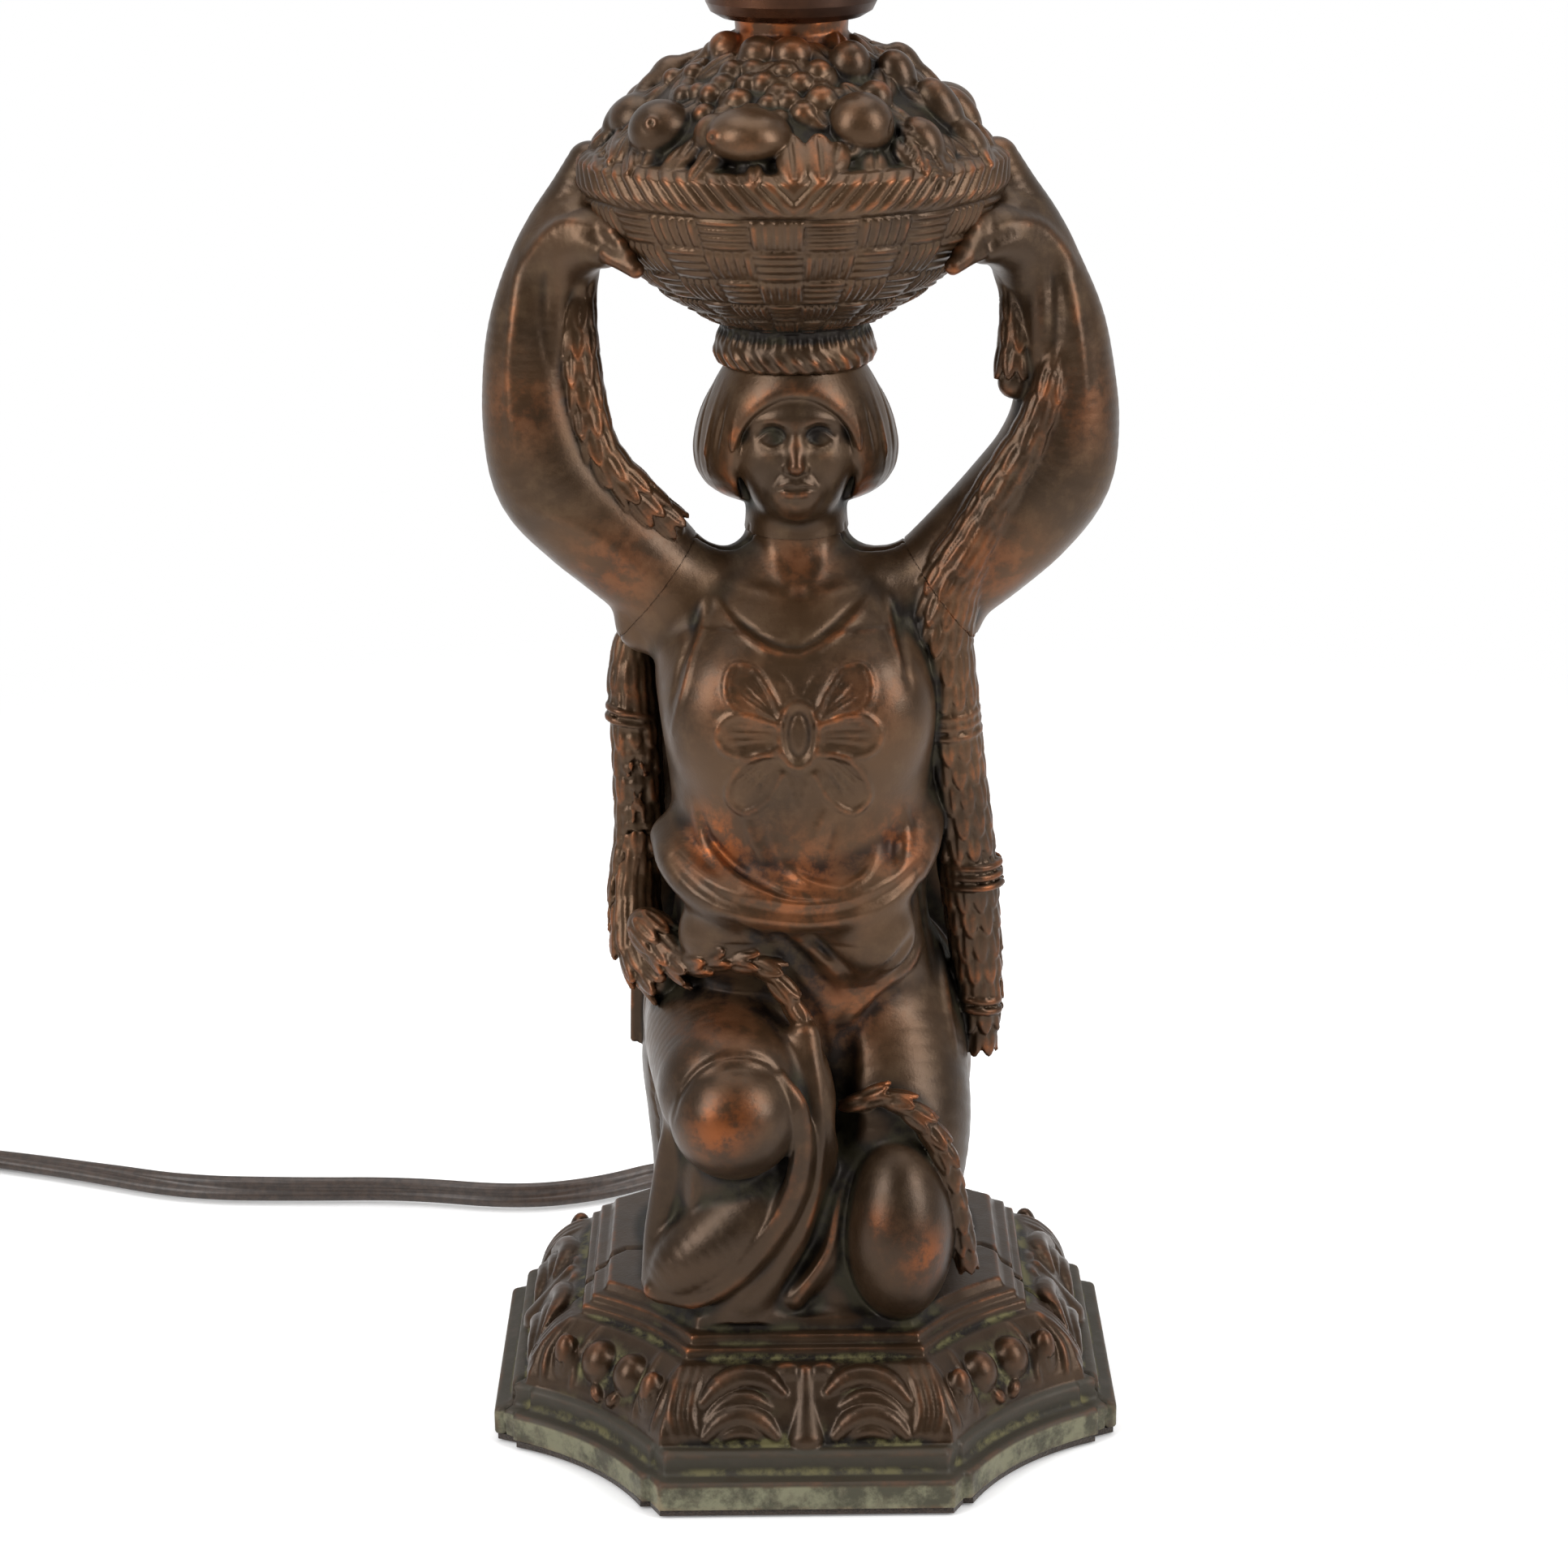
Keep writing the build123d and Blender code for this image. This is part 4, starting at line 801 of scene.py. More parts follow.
# %% Hands
for side in (-1, 1):
    def hand(*p, side=side):
        return (side * p[0], *p[1:])

    figure.limb([hand(45, -5, 238, 7), hand(41.5, -9, 242, 6.6), hand(38, -12.5, 243, 5.4),
        hand(36, -15, 242, 3.8)], 3)
    for k in range(4):
        start = hand(38.4 - 1.2 * k, -11.5 - 2.3 * k, 247.2 - 1.9 * k, 2.1)
        knuckle = hand(36.4 - 1.2 * k, -14.2 - 2.0 * k, 246.8 - 2.0 * k, 2.0)
        tip = hand(34.0 - 1.4 * k, -17.4 - 1.6 * k, 245.4 - 2.1 * k, 1.7)
        figure.limb([start, knuckle, tip], 0.8, 10)
    figure.limb([hand(42, -8, 247, 3), hand(38.6, -7, 250, 2.4), hand(36, -8, 251.4, 1.8)], 1.5)
hand_lines = (
    ([(640, 336), (664, 302), (690, 277), (716, 274)], 1.7, 0.9),
    ([(672, 318), (669, 380), (674, 450)], 1.3, -0.9),
    ([(688, 326), (690, 380), (692, 440)], 1.9, 0.6),
    ([(716, 286), (742, 296), (768, 322)], 1.2, -0.8),
    ([(1328, 336), (1304, 302), (1278, 277), (1252, 274)], 1.7, 0.9),
    ([(1296, 318), (1299, 380), (1294, 450)], 1.3, -0.9),
    ([(1280, 326), (1278, 380), (1276, 440)], 1.9, 0.6),
    ([(1252, 286), (1226, 296), (1200, 322)], 1.2, -0.8),
    ([(640, 318), (632, 400), (628, 480), (634, 560)], 1.4, 0.7),
    ([(658, 330), (656, 420), (652, 500)], 1.6, -0.5),
    ([(640, 620), (690, 640), (760, 680), (820, 730)], 1.8, 0.5),
    ([(1318, 330), (1330, 420), (1338, 500)], 1.4, 0.7),
    ([(1296, 330), (1304, 420), (1306, 500)], 1.6, -0.5),
)
for line, width, lift in hand_lines:
    figure.draw(line, width, lift)
print("hands", len(hand_lines), "lines drawn")

# %% [markdown]
# The emblem on the tunic is a plain butterfly raised in outline. One wing is drawn from
# its middle, and the other mirrors it.

# %% Butterfly on the tunic
MID, EMBLEM_ROW = 984, 905
for side in (-1, 1):
    for loop in (
        [(22, -24), (38, -56), (58, -82), (80, -84), (90, -60), (84, -36), (54, -20), (26, -12)],
        [(26, -12), (62, -24), (90, -18), (101, 2), (92, 20), (62, 28), (28, 18)],
        [(24, 24), (60, 30), (80, 50), (86, 80), (68, 96), (40, 82), (20, 50)],
    ):
        figure.draw([(MID + side * a, EMBLEM_ROW + b) for a, b in loop], 0.62, 0.85, fade=False,
            count=40)
    for start, end in (
        ((30, -28), (66, -66)), ((28, -32), (54, -70)), ((34, -24), (76, -52)),
        ((34, -4), (82, -6)), ((34, 3), (86, 4)), ((34, 10), (80, 14)), ((34, 32), (70, 72)),
        ((30, 38), (58, 78)), ((40, 30), (76, 60)),
    ):
        vein = [(MID + side * a, EMBLEM_ROW + b) for a, b in (start, end)]
        figure.draw(vein, 0.5, -0.55)
    figure.draw([(MID + side * 16, 948), (MID + side * 8, 975), (MID, 1002)], 0.4, 0.5)
    figure.draw([(MID + side * 6, 862), (MID + side * 18, 838), (MID + side * 26, 830)], 0.35, 0.4)
for a, b, lift in ((25, 41, 0.9), (13, 27, -0.6)):
    circle = np.linspace(0, 2 * math.pi, 17)
    ring = [(MID + a * math.cos(t), EMBLEM_ROW + b * math.sin(t)) for t in circle]
    figure.draw(ring, 0.6, lift, fade=False, count=40)
print("figure done")

# %% [markdown]
# ## Basket and fruit
#
# The bowl is turned, then woven by raising strands in alternate blocks. The lid is a
# mound of fruit inside a rim of twisted straw.

# %% Basket and lid
vessel = Clay((-44, -44, 214), (44, 44, 286), 0.4)
part, (x, y, z) = vessel.window((-50, -50, 200), (50, 50, 300))
away = np.sqrt(x * x + y * y)
bearing = np.arctan2(x, -y)
bowl = [
    (0, 216.5), (13.4, 216.5), (15.2, 217.6), (15.9, 219.6), (15.4, 222), (14.4, 224.2),
    (14.8, 225.4), (19.6, 228.2), (26, 232.2), (32, 237.4), (36.8, 243.4), (40.2, 250),
    (41.2, 251.6), (41.9, 253.6), (41.4, 257.4), (39.6, 259), (36.4, 259.6), (34.5, 262.0),
    (30, 267.0), (24, 271.8), (17.5, 275.8), (13.4, 278.0), (11.6, 279.4), (10.7, 280.8),
    (10.9, 283.5), (0, 283.5),
]
vessel.field[part] = swept(bowl, away, z)

# %% [markdown]
# The weave goes round in 24 columns and 5 courses. Blocks alternate between strands
# that lie and strands that stand, and each strand dips where it goes under its neighbour.

# %% Weave, foot ring and straw rim
WEAVE_COLUMNS, STRANDS_LYING, STRANDS_STANDING = 24, 4, 5
levels = np.array([225.2, 228.6, 232.8, 238.2, 244.6, 250.8])
row = np.clip(np.searchsorted(levels, z[0, 0]) - 1, 0, 4)
up = np.clip((z[0, 0] - levels[row]) / (levels[row + 1] - levels[row]), 0, 1)[None, None, :]
place = (bearing - 0.05) / (2 * math.pi) * WEAVE_COLUMNS
column = np.floor(place)
across = place - column
lying = (column + row[None, None, :]) % 2 == 0
lying_strands = np.abs(np.sin(math.pi * STRANDS_LYING * up))
standing_strands = np.abs(np.sin(math.pi * STRANDS_STANDING * across))
strand = np.where(lying, lying_strands, standing_strands)
dip = np.where(lying, np.sin(math.pi * across), np.sin(math.pi * up)) ** 0.35
bowl_side = (z > 224.8) & (z < 251.2)
woven = (0.45 + 0.75 * strand**0.7) * dip * bowl_side
vessel.field[part] -= (woven - 0.5 * bowl_side).astype(np.float32)

# twisted foot ring and straw rim
twist = np.sin(bearing * 30 + (z - 219) * 1.5)
twist = 0.32 * twist * np.exp(-(((z - 218.9) / 1.9) ** 2))
vessel.field[part] -= (twist * (away > 12)).astype(np.float32)
ribs = np.sin(bearing * 46) * np.exp(-(((z - 223.2) / 1.2) ** 2)) * (away > 12)
vessel.field[part] -= (0.22 * ribs).astype(np.float32)
straw = np.abs(np.sin((np.abs(bearing) * 40 - (z - 251) * 0.95) * math.pi / 3.3))
rim = np.clip((z - 251.6) / 1.2, 0, 1) * np.clip((259.6 - z) / 1.6, 0, 1) * (away > 35)
vessel.field[part] -= ((0.75 * straw**0.7 - 0.35) * rim).astype(np.float32)
print("basket", vessel.field.shape)

# %% [markdown]
# The fruit is heaped on a bare mound. A kept copy of that mound says where each piece
# sits: a ray through the picture is followed until it meets the mound. Small leaves
# fill the gaps first, then the big fruit, the grapes and pods go on.

# %% Filling leaves on the mound
bare = vessel.field.copy()


def on_heap(u, v, sink=0.0):
    """The point of the bare mound that shows at (u, v), moved in by sink."""
    hit = [False]
    while not hit[0]:  # a ray past the mound's edge is moved in until it meets it
        found, hit = vessel.seen([u], [v], bare)
        u += 2 * np.sign(MID - u)
    return found[0] + sink * ray(u, v)


# a ring of leaves just inside the straw rim
RING_LEAVES, FILLER_LEAVES, GOLDEN_ANGLE = 30, 72, 2.399963
for k in range(RING_LEAVES):
    a = 2 * math.pi * k / RING_LEAVES
    out, along = np.array([math.sin(a), -math.cos(a), 0]), np.array([math.cos(a), math.sin(a), 0])
    way = out - (0, 0, 0.9) + 0.6 * math.sin(5.1 * k) * along
    vessel.leaf(out * 36 + (0, 0, 260.6 + 0.8 * math.sin(2.3 * k)), way, out + (0, 0, 1.1),
        8.5, 6, 1.8, 0.5, 0.5)

# then a spiral of them up the mound, turned by the golden angle so that no gap repeats
mound_far = [-36.4, -34.5, -30, -24, -17.5, -13.4, -11.6]
mound_high = [259.6, 262, 267, 271.8, 275.8, 278, 279.4]
for k in range(FILLER_LEAVES):
    a, far = GOLDEN_ANGLE * k, 36.5 - 24 * (k / FILLER_LEAVES) ** 0.85
    high = np.interp(-far, mound_far, mound_high)
    out = np.array([math.sin(a), -math.cos(a), 0])
    along = np.array([math.cos(a), math.sin(a), 0]) * math.sin(3.7 * k)
    vessel.leaf(out * far + (0, 0, high - 0.2), out - (0, 0, 0.8) + 0.9 * along, out + (0, 0, 1.2),
        9, 5.6, 1.5, 0.5, 0.5)
print("leaves on the mound", RING_LEAVES + FILLER_LEAVES)

# %% [markdown]
# The front fruit is placed from the picture: a picture point, a width, a height
# and a tip in degrees. Grapes are small balls, and pods are short curved limbs.

# %% Fruit, grapes and pods
front_fruit = (
    (1060, 156, 6.3, 6.4, 0), (1046, 82, 4.2, 4.9, 8), (1104, 97, 4.0, 5.6, -12),
    (1158, 138, 4.2, 7.0, -28), (924, 170, 8.2, 5.6, 4), (815, 162, 6.3, 6.0, -10),
    (882, 168, 4.2, 4.2, 0), (975, 68, 4.0, 3.6, 0), (936, 66, 4.0, 3.4, 0),
    (896, 60, 3.6, 3.4, 0), (1008, 92, 2.8, 2.9, 0), (1134, 178, 4.4, 5.4, -30),
    (1190, 176, 3.6, 6.0, -35), (766, 152, 3.4, 5.0, 30), (1078, 122, 3.4, 3.6, 0),
    (1012, 128, 3.2, 3.4, 0), (1196, 140, 3.4, 6.0, -35), (1146, 82, 3.6, 5.0, -30),
    (806, 96, 3.4, 4.6, 30),
)
for u, v, wide, tall, tip in front_fruit:
    vessel.egg(on_heap(u, v, 0.02 * wide), (wide, wide, tall), 0.5, tip=(0, tip, 0))
grapes = (
    (856, 93, 2.4), (880, 65, 2.3), (903, 91, 2.6), (877, 119, 2.5), (844, 120, 2.5),
    (910, 127, 2.8), (941, 106, 2.6), (948, 131, 2.3), (986, 106, 2.7), (972, 128, 2.4),
    (990, 142, 2.6), (928, 88, 2.2), (966, 90, 2.2), (921, 106, 2.3), (960, 118, 2.3),
    (890, 106, 2.2), (926, 143, 2.4), (862, 116, 2.2), (868, 142, 2.2), (892, 143, 2.0),
    (960, 148, 2.0), (830, 98, 2.2), (1012, 112, 2.0), (1030, 120, 1.9),
)
for u, v, size in grapes:
    vessel.egg(on_heap(u, v, 0.1 * size), (size, size, size), 0.7)
# the round scar where two of the fruit were on their stalks
circle = np.linspace(0, 2 * math.pi, 13)
for u, v, radius in ((878, 169, 5.4), (803, 152, 5.6)):
    ring = [(u + radius * math.cos(t), v + radius * math.sin(t)) for t in circle]
    vessel.draw(ring, 0.5, 0.6, fade=False, count=26)
    vessel.draw([(u - 1, v), (u + 1, v)], 0.6, -0.6)
pods = (
    [(842, 74, 1.8), (818, 90, 2.9), (796, 112, 3.0), (782, 136, 1.8)],
    [(1098, 60, 1.6), (1128, 74, 2.5), (1154, 96, 2.5), (1174, 122, 1.4)],
    [(846, 52, 1.2), (848, 62, 1.6)],
    [(822, 66, 1.0), (826, 74, 1.5)],
)
for pod in pods:
    vessel.limb([(*on_heap(u, v), radius) for u, v, radius in pod], 0.6)
print("front fruit", len(front_fruit), "grapes", len(grapes), "pods", len(pods))

# %% [markdown]
# Broad leaves hang over the straw rim, and a feathery one lies at the right. Each is set
# between two picture points that are laid on the mound.

# %% Leaves over the rim
rim_leaves = (
    ((972, 164), (980, 230), 6.2), ((1008, 164), (1014, 230), 6.4), ((846, 190), (806, 242), 5.4),
    ((876, 196), (850, 228), 4.4), ((764, 160), (750, 204), 4.4), ((780, 182), (774, 216), 3.6),
    ((1102, 134), (1166, 224), 7.0), ((1120, 156), (1142, 218), 5.0), ((1196, 160), (1222, 206), 5.0),
    ((1178, 152), (1204, 192), 3.8), ((746, 172), (732, 208), 4.0), ((930, 202), (930, 230), 3.2),
)
for (u0, v0), (u1, v1), wide in rim_leaves:
    a, b = on_heap(u0, v0, -1.2), on_heap(u1, v1, -0.3)
    middle = (a + b) / 2
    vessel.leaf(middle, b - a, np.array([middle[0], middle[1], 22]), np.linalg.norm(b - a),
        wide, 1.3, 0.5, 0.5)
# the feathery leaf at the right, and the veins of one at the left
for k in range(9):
    u, v = 1104 + 7.0 * k, 146 + 9.2 * k
    vessel.draw([(u, v), (u + 15, v + 5)], 0.45, -0.5)
    vessel.draw([(u - 4, v + 2), (u - 8, v + 17)], 0.45, -0.5)
for k in range(8):
    u, v = 742 + 2 * k, 168 + 6 * k
    vessel.draw([(u, v), (u - 10, v + 9)], 0.45, -0.45)
print("rim leaves", len(rim_leaves))

# %% [markdown]
# No picture shows the sides and back of the heap, so plain round fruit carries on there
# in three rings, with a few leaves over the rim.

# %% Fruit round the back
back_fruit = (
    (-82, 29, 262.5, 6.4, 5.4), (98, 29, 262.5, 6.8, 5.8), (-112, 28.5, 262.5, 6.6, 6.0),
    (126, 28.5, 262.5, 6.6, 6.0), (-141, 28.5, 262.5, 6.8, 5.6), (153, 28.5, 262.5, 6.4, 6.0),
    (-170, 28.5, 262.5, 6.8, 6.2), (-96, 20, 268.5, 4.8, 4.4), (80, 20.5, 268.5, 4.6, 4.2),
    (-128, 20, 268.5, 4.8, 4.2), (110, 20, 268.5, 4.8, 4.4), (140, 20, 268.5, 4.6, 4.2),
    (-160, 20, 268.5, 4.8, 4.4), (168, 20, 268.5, 4.6, 4.0), (-80, 14.5, 273, 3.2, 3.0),
    (95, 14.5, 273, 3.2, 3.0), (-110, 14.5, 273, 3.2, 3.0), (125, 14.5, 273, 3.2, 2.8),
    (-140, 14.5, 273, 3.2, 3.0), (152, 14.5, 273, 3.2, 3.0), (-168, 14.5, 273, 3.2, 2.8),
    (180, 14.5, 273, 3.0, 3.0),
)
for turn_deg, far, height, wide, tall in back_fruit:
    a = math.radians(turn_deg)
    vessel.egg((far * math.sin(a), -far * math.cos(a), height + 2), (wide, wide, tall), 0.5)
for turn_deg in (-155, -125, -97, 84, 112, 140, 168):
    a = math.radians(turn_deg)
    out = np.array([math.sin(a), -math.cos(a), 0])
    vessel.leaf(out * 37.5 + (0, 0, 259), out * 5 - (0, 0, 9), out + (0, 0, 0.6), 11, 4.2, 1.4, 0.4)
print("back fruit", len(back_fruit))

# %% [markdown]
# ## Head
#
# The hair is a smooth bob, cut short at the jaw. The face is a plain idealised one:
# the eyes lie half way up the head, and brow, nose and chin divide it in thirds.

# %% Head
head = Clay((-22, -25, 183), (22, 21, 217.2), 0.34)
CROWN = np.array([0, -1.0, 201.5])
NOD = math.radians(9)
AHEAD = np.array([0, -math.cos(NOD), math.sin(NOD)])
ABOVE = np.array([0, math.sin(NOD), math.cos(NOD)])


def face(x, f, h):
    """A point of the head: x across, f forward, h up."""
    return CROWN + x * np.array([1, 0, 0]) + f * AHEAD + h * ABOVE


def blob(x, f, h, radii, blend=1.5, away=False):
    """An ellipsoid on the head, and its mirror where it is off the middle."""
    for side in ((-1, 1) if x else (1,)):
        head.egg(face(side * x, f, h), radii, blend, away, tip=(-math.degrees(NOD), 0, 0))


def face_stroke(points, width, lift, count=12):
    """A stroke on the face through (x, h), the same on both sides."""
    if len(points) > 2:
        flat = spline([(x, h, 0) for x, h in points], count)[:, :2]
    else:
        flat = np.array(points, float)
    depth = np.arange(20, 2, -0.1)
    for side in ((-1, 1) if any(x for x, _ in points) else (1,)):
        found = []
        for x, h in flat:
            line = face(side * x, 0, h) + depth[:, None] * AHEAD
            found.append(line[np.argmax(head.value(line) < 0)])
        head.stroke(found, width, lift, count=2 * len(found))


head.ovals([(189, 0, 4, 11, 9.5), (191, 0, 3.5, 15.6, 13.6), (194.5, 0, 2.8, 18.8, 16),
    (199, 0, 2, 19.9, 17.6), (205, 0, 1, 19.2, 18), (210, 0, 0, 17.4, 17),
    (214, 0, -0.4, 15.4, 15.6), (217, 0, -0.5, 13.6, 14)], 1.5)
head.cut(lambda x, y, z: np.maximum((np.sqrt((x / 11.9) ** 2 + ((z - 198) / 15.6) ** 2) - 1) * 11,
    y + 5).astype(np.float32), (-14, -25, 180), (14, -5, 216), 1.6)
head.ovals([(180, 0, -0.6, 11, 11.4), (185, 0, -0.6, 9.9, 10.8), (190, 0, -0.6, 9.6, 10.6),
    (196, 0, -0.6, 9.6, 10.6)], 1.0)

# %% [markdown]
# The face is built in a usual order: skull, jaw, chin, cheeks, brow, eyes, nose and
# mouth. Thin strokes then mark the brows, lids and lips.

# %% Face
blob(0, 1, 3, (12.2, 14.2, 14), 1)
blob(0, 5.4, -2.5, (10.6, 9.6, 11.8), 3)
blob(0, 6.6, -8.2, (8.0, 7.0, 6.4), 3)
blob(0, 11.0, -12.0, (2.9, 2.5, 2.3), 3.0)
blob(5.6, 8.8, -3.0, (4.4, 4.4, 4.6), 3.5)
blob(0, 6.8, 6.5, (9.6, 8.0, 7.4), 4)
blob(4.6, 16.2, 1.6, (3.3, 2.9, 2.3), 2.2, away=True)
blob(4.5, 11.75, 1.0, (2.35, 2.0, 1.75), 0.5)
head.limb([(*face(0, 12.6, 3.6), 1.2), (*face(0, 13.8, 0.4), 1.25), (*face(0, 15.4, -2.8), 1.45),
    (*face(0, 16.0, -4.3), 1.55)], 1.6)
blob(1.7, 14.2, -4.7, (1.15, 1.5, 1.0), 0.7)
blob(0, 12.4, -8.8, (4.4, 2.6, 3.2), 2.5)
face_stroke([(1.6, 3.6), (4.2, 4.7), (7.4, 4.0), (8.8, 2.6)], 0.8, 0.55)
face_stroke([(2.0, 0.7), (3.4, 2.0), (5.2, 2.1), (7.2, 0.7)], 0.36, 0.42)
face_stroke([(1.9, 1.3), (3.4, 2.8), (5.4, 2.9), (7.6, 1.2)], 0.36, -0.4)
face_stroke([(2.2, 0.3), (4.4, -0.7), (6.9, 0.3)], 0.34, 0.3)
face_stroke([(0.9, -6.2), (1.7, -5.9)], 0.45, -0.6)
face_stroke([(0, -6.2), (0, -7.3)], 0.5, -0.3)
face_stroke([(0, -7.9), (1.3, -7.45), (2.6, -7.9), (3.7, -8.5)], 0.5, 0.42)
face_stroke([(0, -9.6), (1.6, -9.5), (3.0, -8.9)], 0.6, 0.5)
face_stroke([(0, -8.6), (1.4, -8.45), (2.8, -8.5), (4.0, -8.7)], 0.36, -0.55)
face_stroke([(0, -10.9), (1.8, -10.8)], 0.8, -0.35)
face_stroke([(2.4, -4.6), (3.6, -6.2), (4.6, -8.4)], 0.7, -0.22)

# %% [markdown]
# Locks of hair sweep down and in from the crown. Every other one is pressed in.

# %% Locks of hair
hair_widths = ((214.5, 15.6), (210, 17.6), (204, 19.3), (198, 19.9), (193.5, 18.2), (190.5, 15))
for side in (-1, 1):
    for k in range(9):
        a = math.radians(34 + 15.5 * k)
        rows = []
        for height, wide in hair_widths:
            bend = a + 0.10 * math.sin((height - 190) / 8 + k)
            rows.append((side * wide * math.sin(bend), 1.2 - 0.95 * wide * math.cos(bend), height))
        head.stroke(rows, 0.55, -0.55 if k % 2 else 0.5, count=18)
    rim = [(side * a, -13.5 + 0.5 * abs(a), h) for a,
        h in ((0.5, 213.4), (5, 212.2), (9.2, 208.6), (11.6, 203), (12.2, 197), (12.0, 192))]
    head.stroke([(x, y - 1.5, z) for x, y, z in rim], 0.9, 0.5, count=16)
print("head", head.field.shape)

# %% [markdown]
# ## From clay to castings
#
# The real lamp is several thin castings soldered together: two halves of the body, the
# arms, the head, the basket and its lid. The clay is parted along the same joints.

# %% Joints between the castings
SHOULDER_LEAN, SHOULDER_REACH, SHOULDER_HEIGHT = math.radians(53), 24, 178
SEAM_DEPTH, SEAM_HALF = 5, 37
NECK_JOINT, LID_JOINT = 184, 251


def shoulder(x, z, side):
    """Distance past the plane where one arm is soldered on."""
    across, up = side * x - SHOULDER_REACH, z - SHOULDER_HEIGHT
    return across * math.sin(SHOULDER_LEAN) + up * math.cos(SHOULDER_LEAN)


def half_joint(x, y, z):
    """Distance behind the joint between the front and back halves, a little uneven."""
    wander = 0.35 * np.sin(0.8 * z + 0.1 * x) + 0.2 * np.sin(2.1 * z)
    out = np.maximum(np.abs(x) - SEAM_HALF, 0)
    return (y + SEAM_DEPTH + out) / np.where(out > 0, 1.414, 1) + wander


def beyond_arms(x, z):
    """Distance past the nearer of the two shoulder joints."""
    return np.maximum(shoulder(x, z, -1), shoulder(x, z, 1))


part, (x, y, z) = figure.window((-70, -70, 0), (70, 70, 186))
groove = 0.55 * np.exp(-((half_joint(x, y, z) / 0.42) ** 2))
figure.field[part] += (groove * (beyond_arms(x, z) < 0)).astype(np.float32)

# the neck is one form through the joint at its foot, so the head's clay takes it in
part, (x, y, z) = head.window((-14, -14, 180), (14, 14, 200))
grid = np.stack(np.broadcast_arrays(x, y, z), axis=-1)
head.field[part] = smooth_min(head.field[part], figure.value(grid).astype(np.float32), 1.2)

# %% [markdown]
# Each casting is the part of the clay on its own side of the joints. A hair of space is
# left between neighbours. Rubbed places are spots where hands have polished the copper.

# %% Castings
HAIR = 0.02
rubbed_places = [
    (880, 1396, 5.2, 0.6), (912, 1372, 4, 0.35), (1143, 1548, 5, 0.5), (1080, 1508, 3.4, 0.3),
    (884, 1040, 6, 0.9), (1110, 1040, 6, 0.5), (984, 1095, 9, 0.5), (1040, 1240, 9, 0.3),
    (885, 1260, 9, 0.25), (905, 860, 8, 0.2), (1065, 860, 8, 0.2), (760, 700, 8, 0.3),
    (1220, 700, 8, 0.3), (984, 700, 6, 0.3), (640, 500, 8, 0.25), (1330, 500, 8, 0.25),
]
marks = []
for u, v, reach, much in rubbed_places:
    found, hit = figure.seen([u], [v])
    if hit[0]:
        marks.append((*found[0], reach, much))
front_half = cast("front_half", figure, ["front_casting"], lambda x, y, z: np.maximum(
    np.maximum(half_joint(x, y, z), beyond_arms(x, z)), z - NECK_JOINT) + HAIR, marks)
back_half = cast("back_half", figure, ["back_casting"], lambda x, y, z: np.maximum(
    np.maximum(-half_joint(x, y, z), beyond_arms(x, z)), z - NECK_JOINT) + HAIR, marks)
arm_pieces = [
    cast(f"{word}_arm_cast", figure, [f"{word}_arm"],
        lambda x, y, z, side=side: -shoulder(x, z, side) + HAIR + 0 * y, marks)
    for word, side in (("left", -1), ("right", 1))
]
head_cast = cast("head_cast", head, ["head"], lambda x, y, z: NECK_JOINT - z + HAIR + 0 * x + 0 * y)
basket_cast = cast("basket_cast", vessel, ["basket"],
    lambda x, y, z: z - LID_JOINT + HAIR + 0 * x + 0 * y)
neck_marks = [(x, y, 281.6, 4.6, 0.75) for x, y in ((0, -11), (-8, -7), (8, -7), (0, 11))]
lid_cast = cast("lid_cast", vessel, ["fruit_lid"],
    lambda x, y, z: LID_JOINT - z + HAIR + 0 * x + 0 * y, neck_marks)
castings = [front_half, back_half, *arm_pieces, head_cast, basket_cast, lid_cast]
print("castings", [piece.name for piece in castings])

# %% [markdown]
# ## Finishes
#
# Each finish is a small tree of nodes. These helpers add a node, and link or set its
# inputs, so a finish reads as a short recipe.


# %% Node helpers
def srgb(r, g, b):
    """A colour given as a picture shows it, 0 to 255, in the linear values that shaders use."""
    level = [v / 255 for v in (r, g, b)]
    return (*[v / 12.92 if v <= 0.04045 else ((v + 0.055) / 1.055) ** 2.4 for v in level], 1.0)


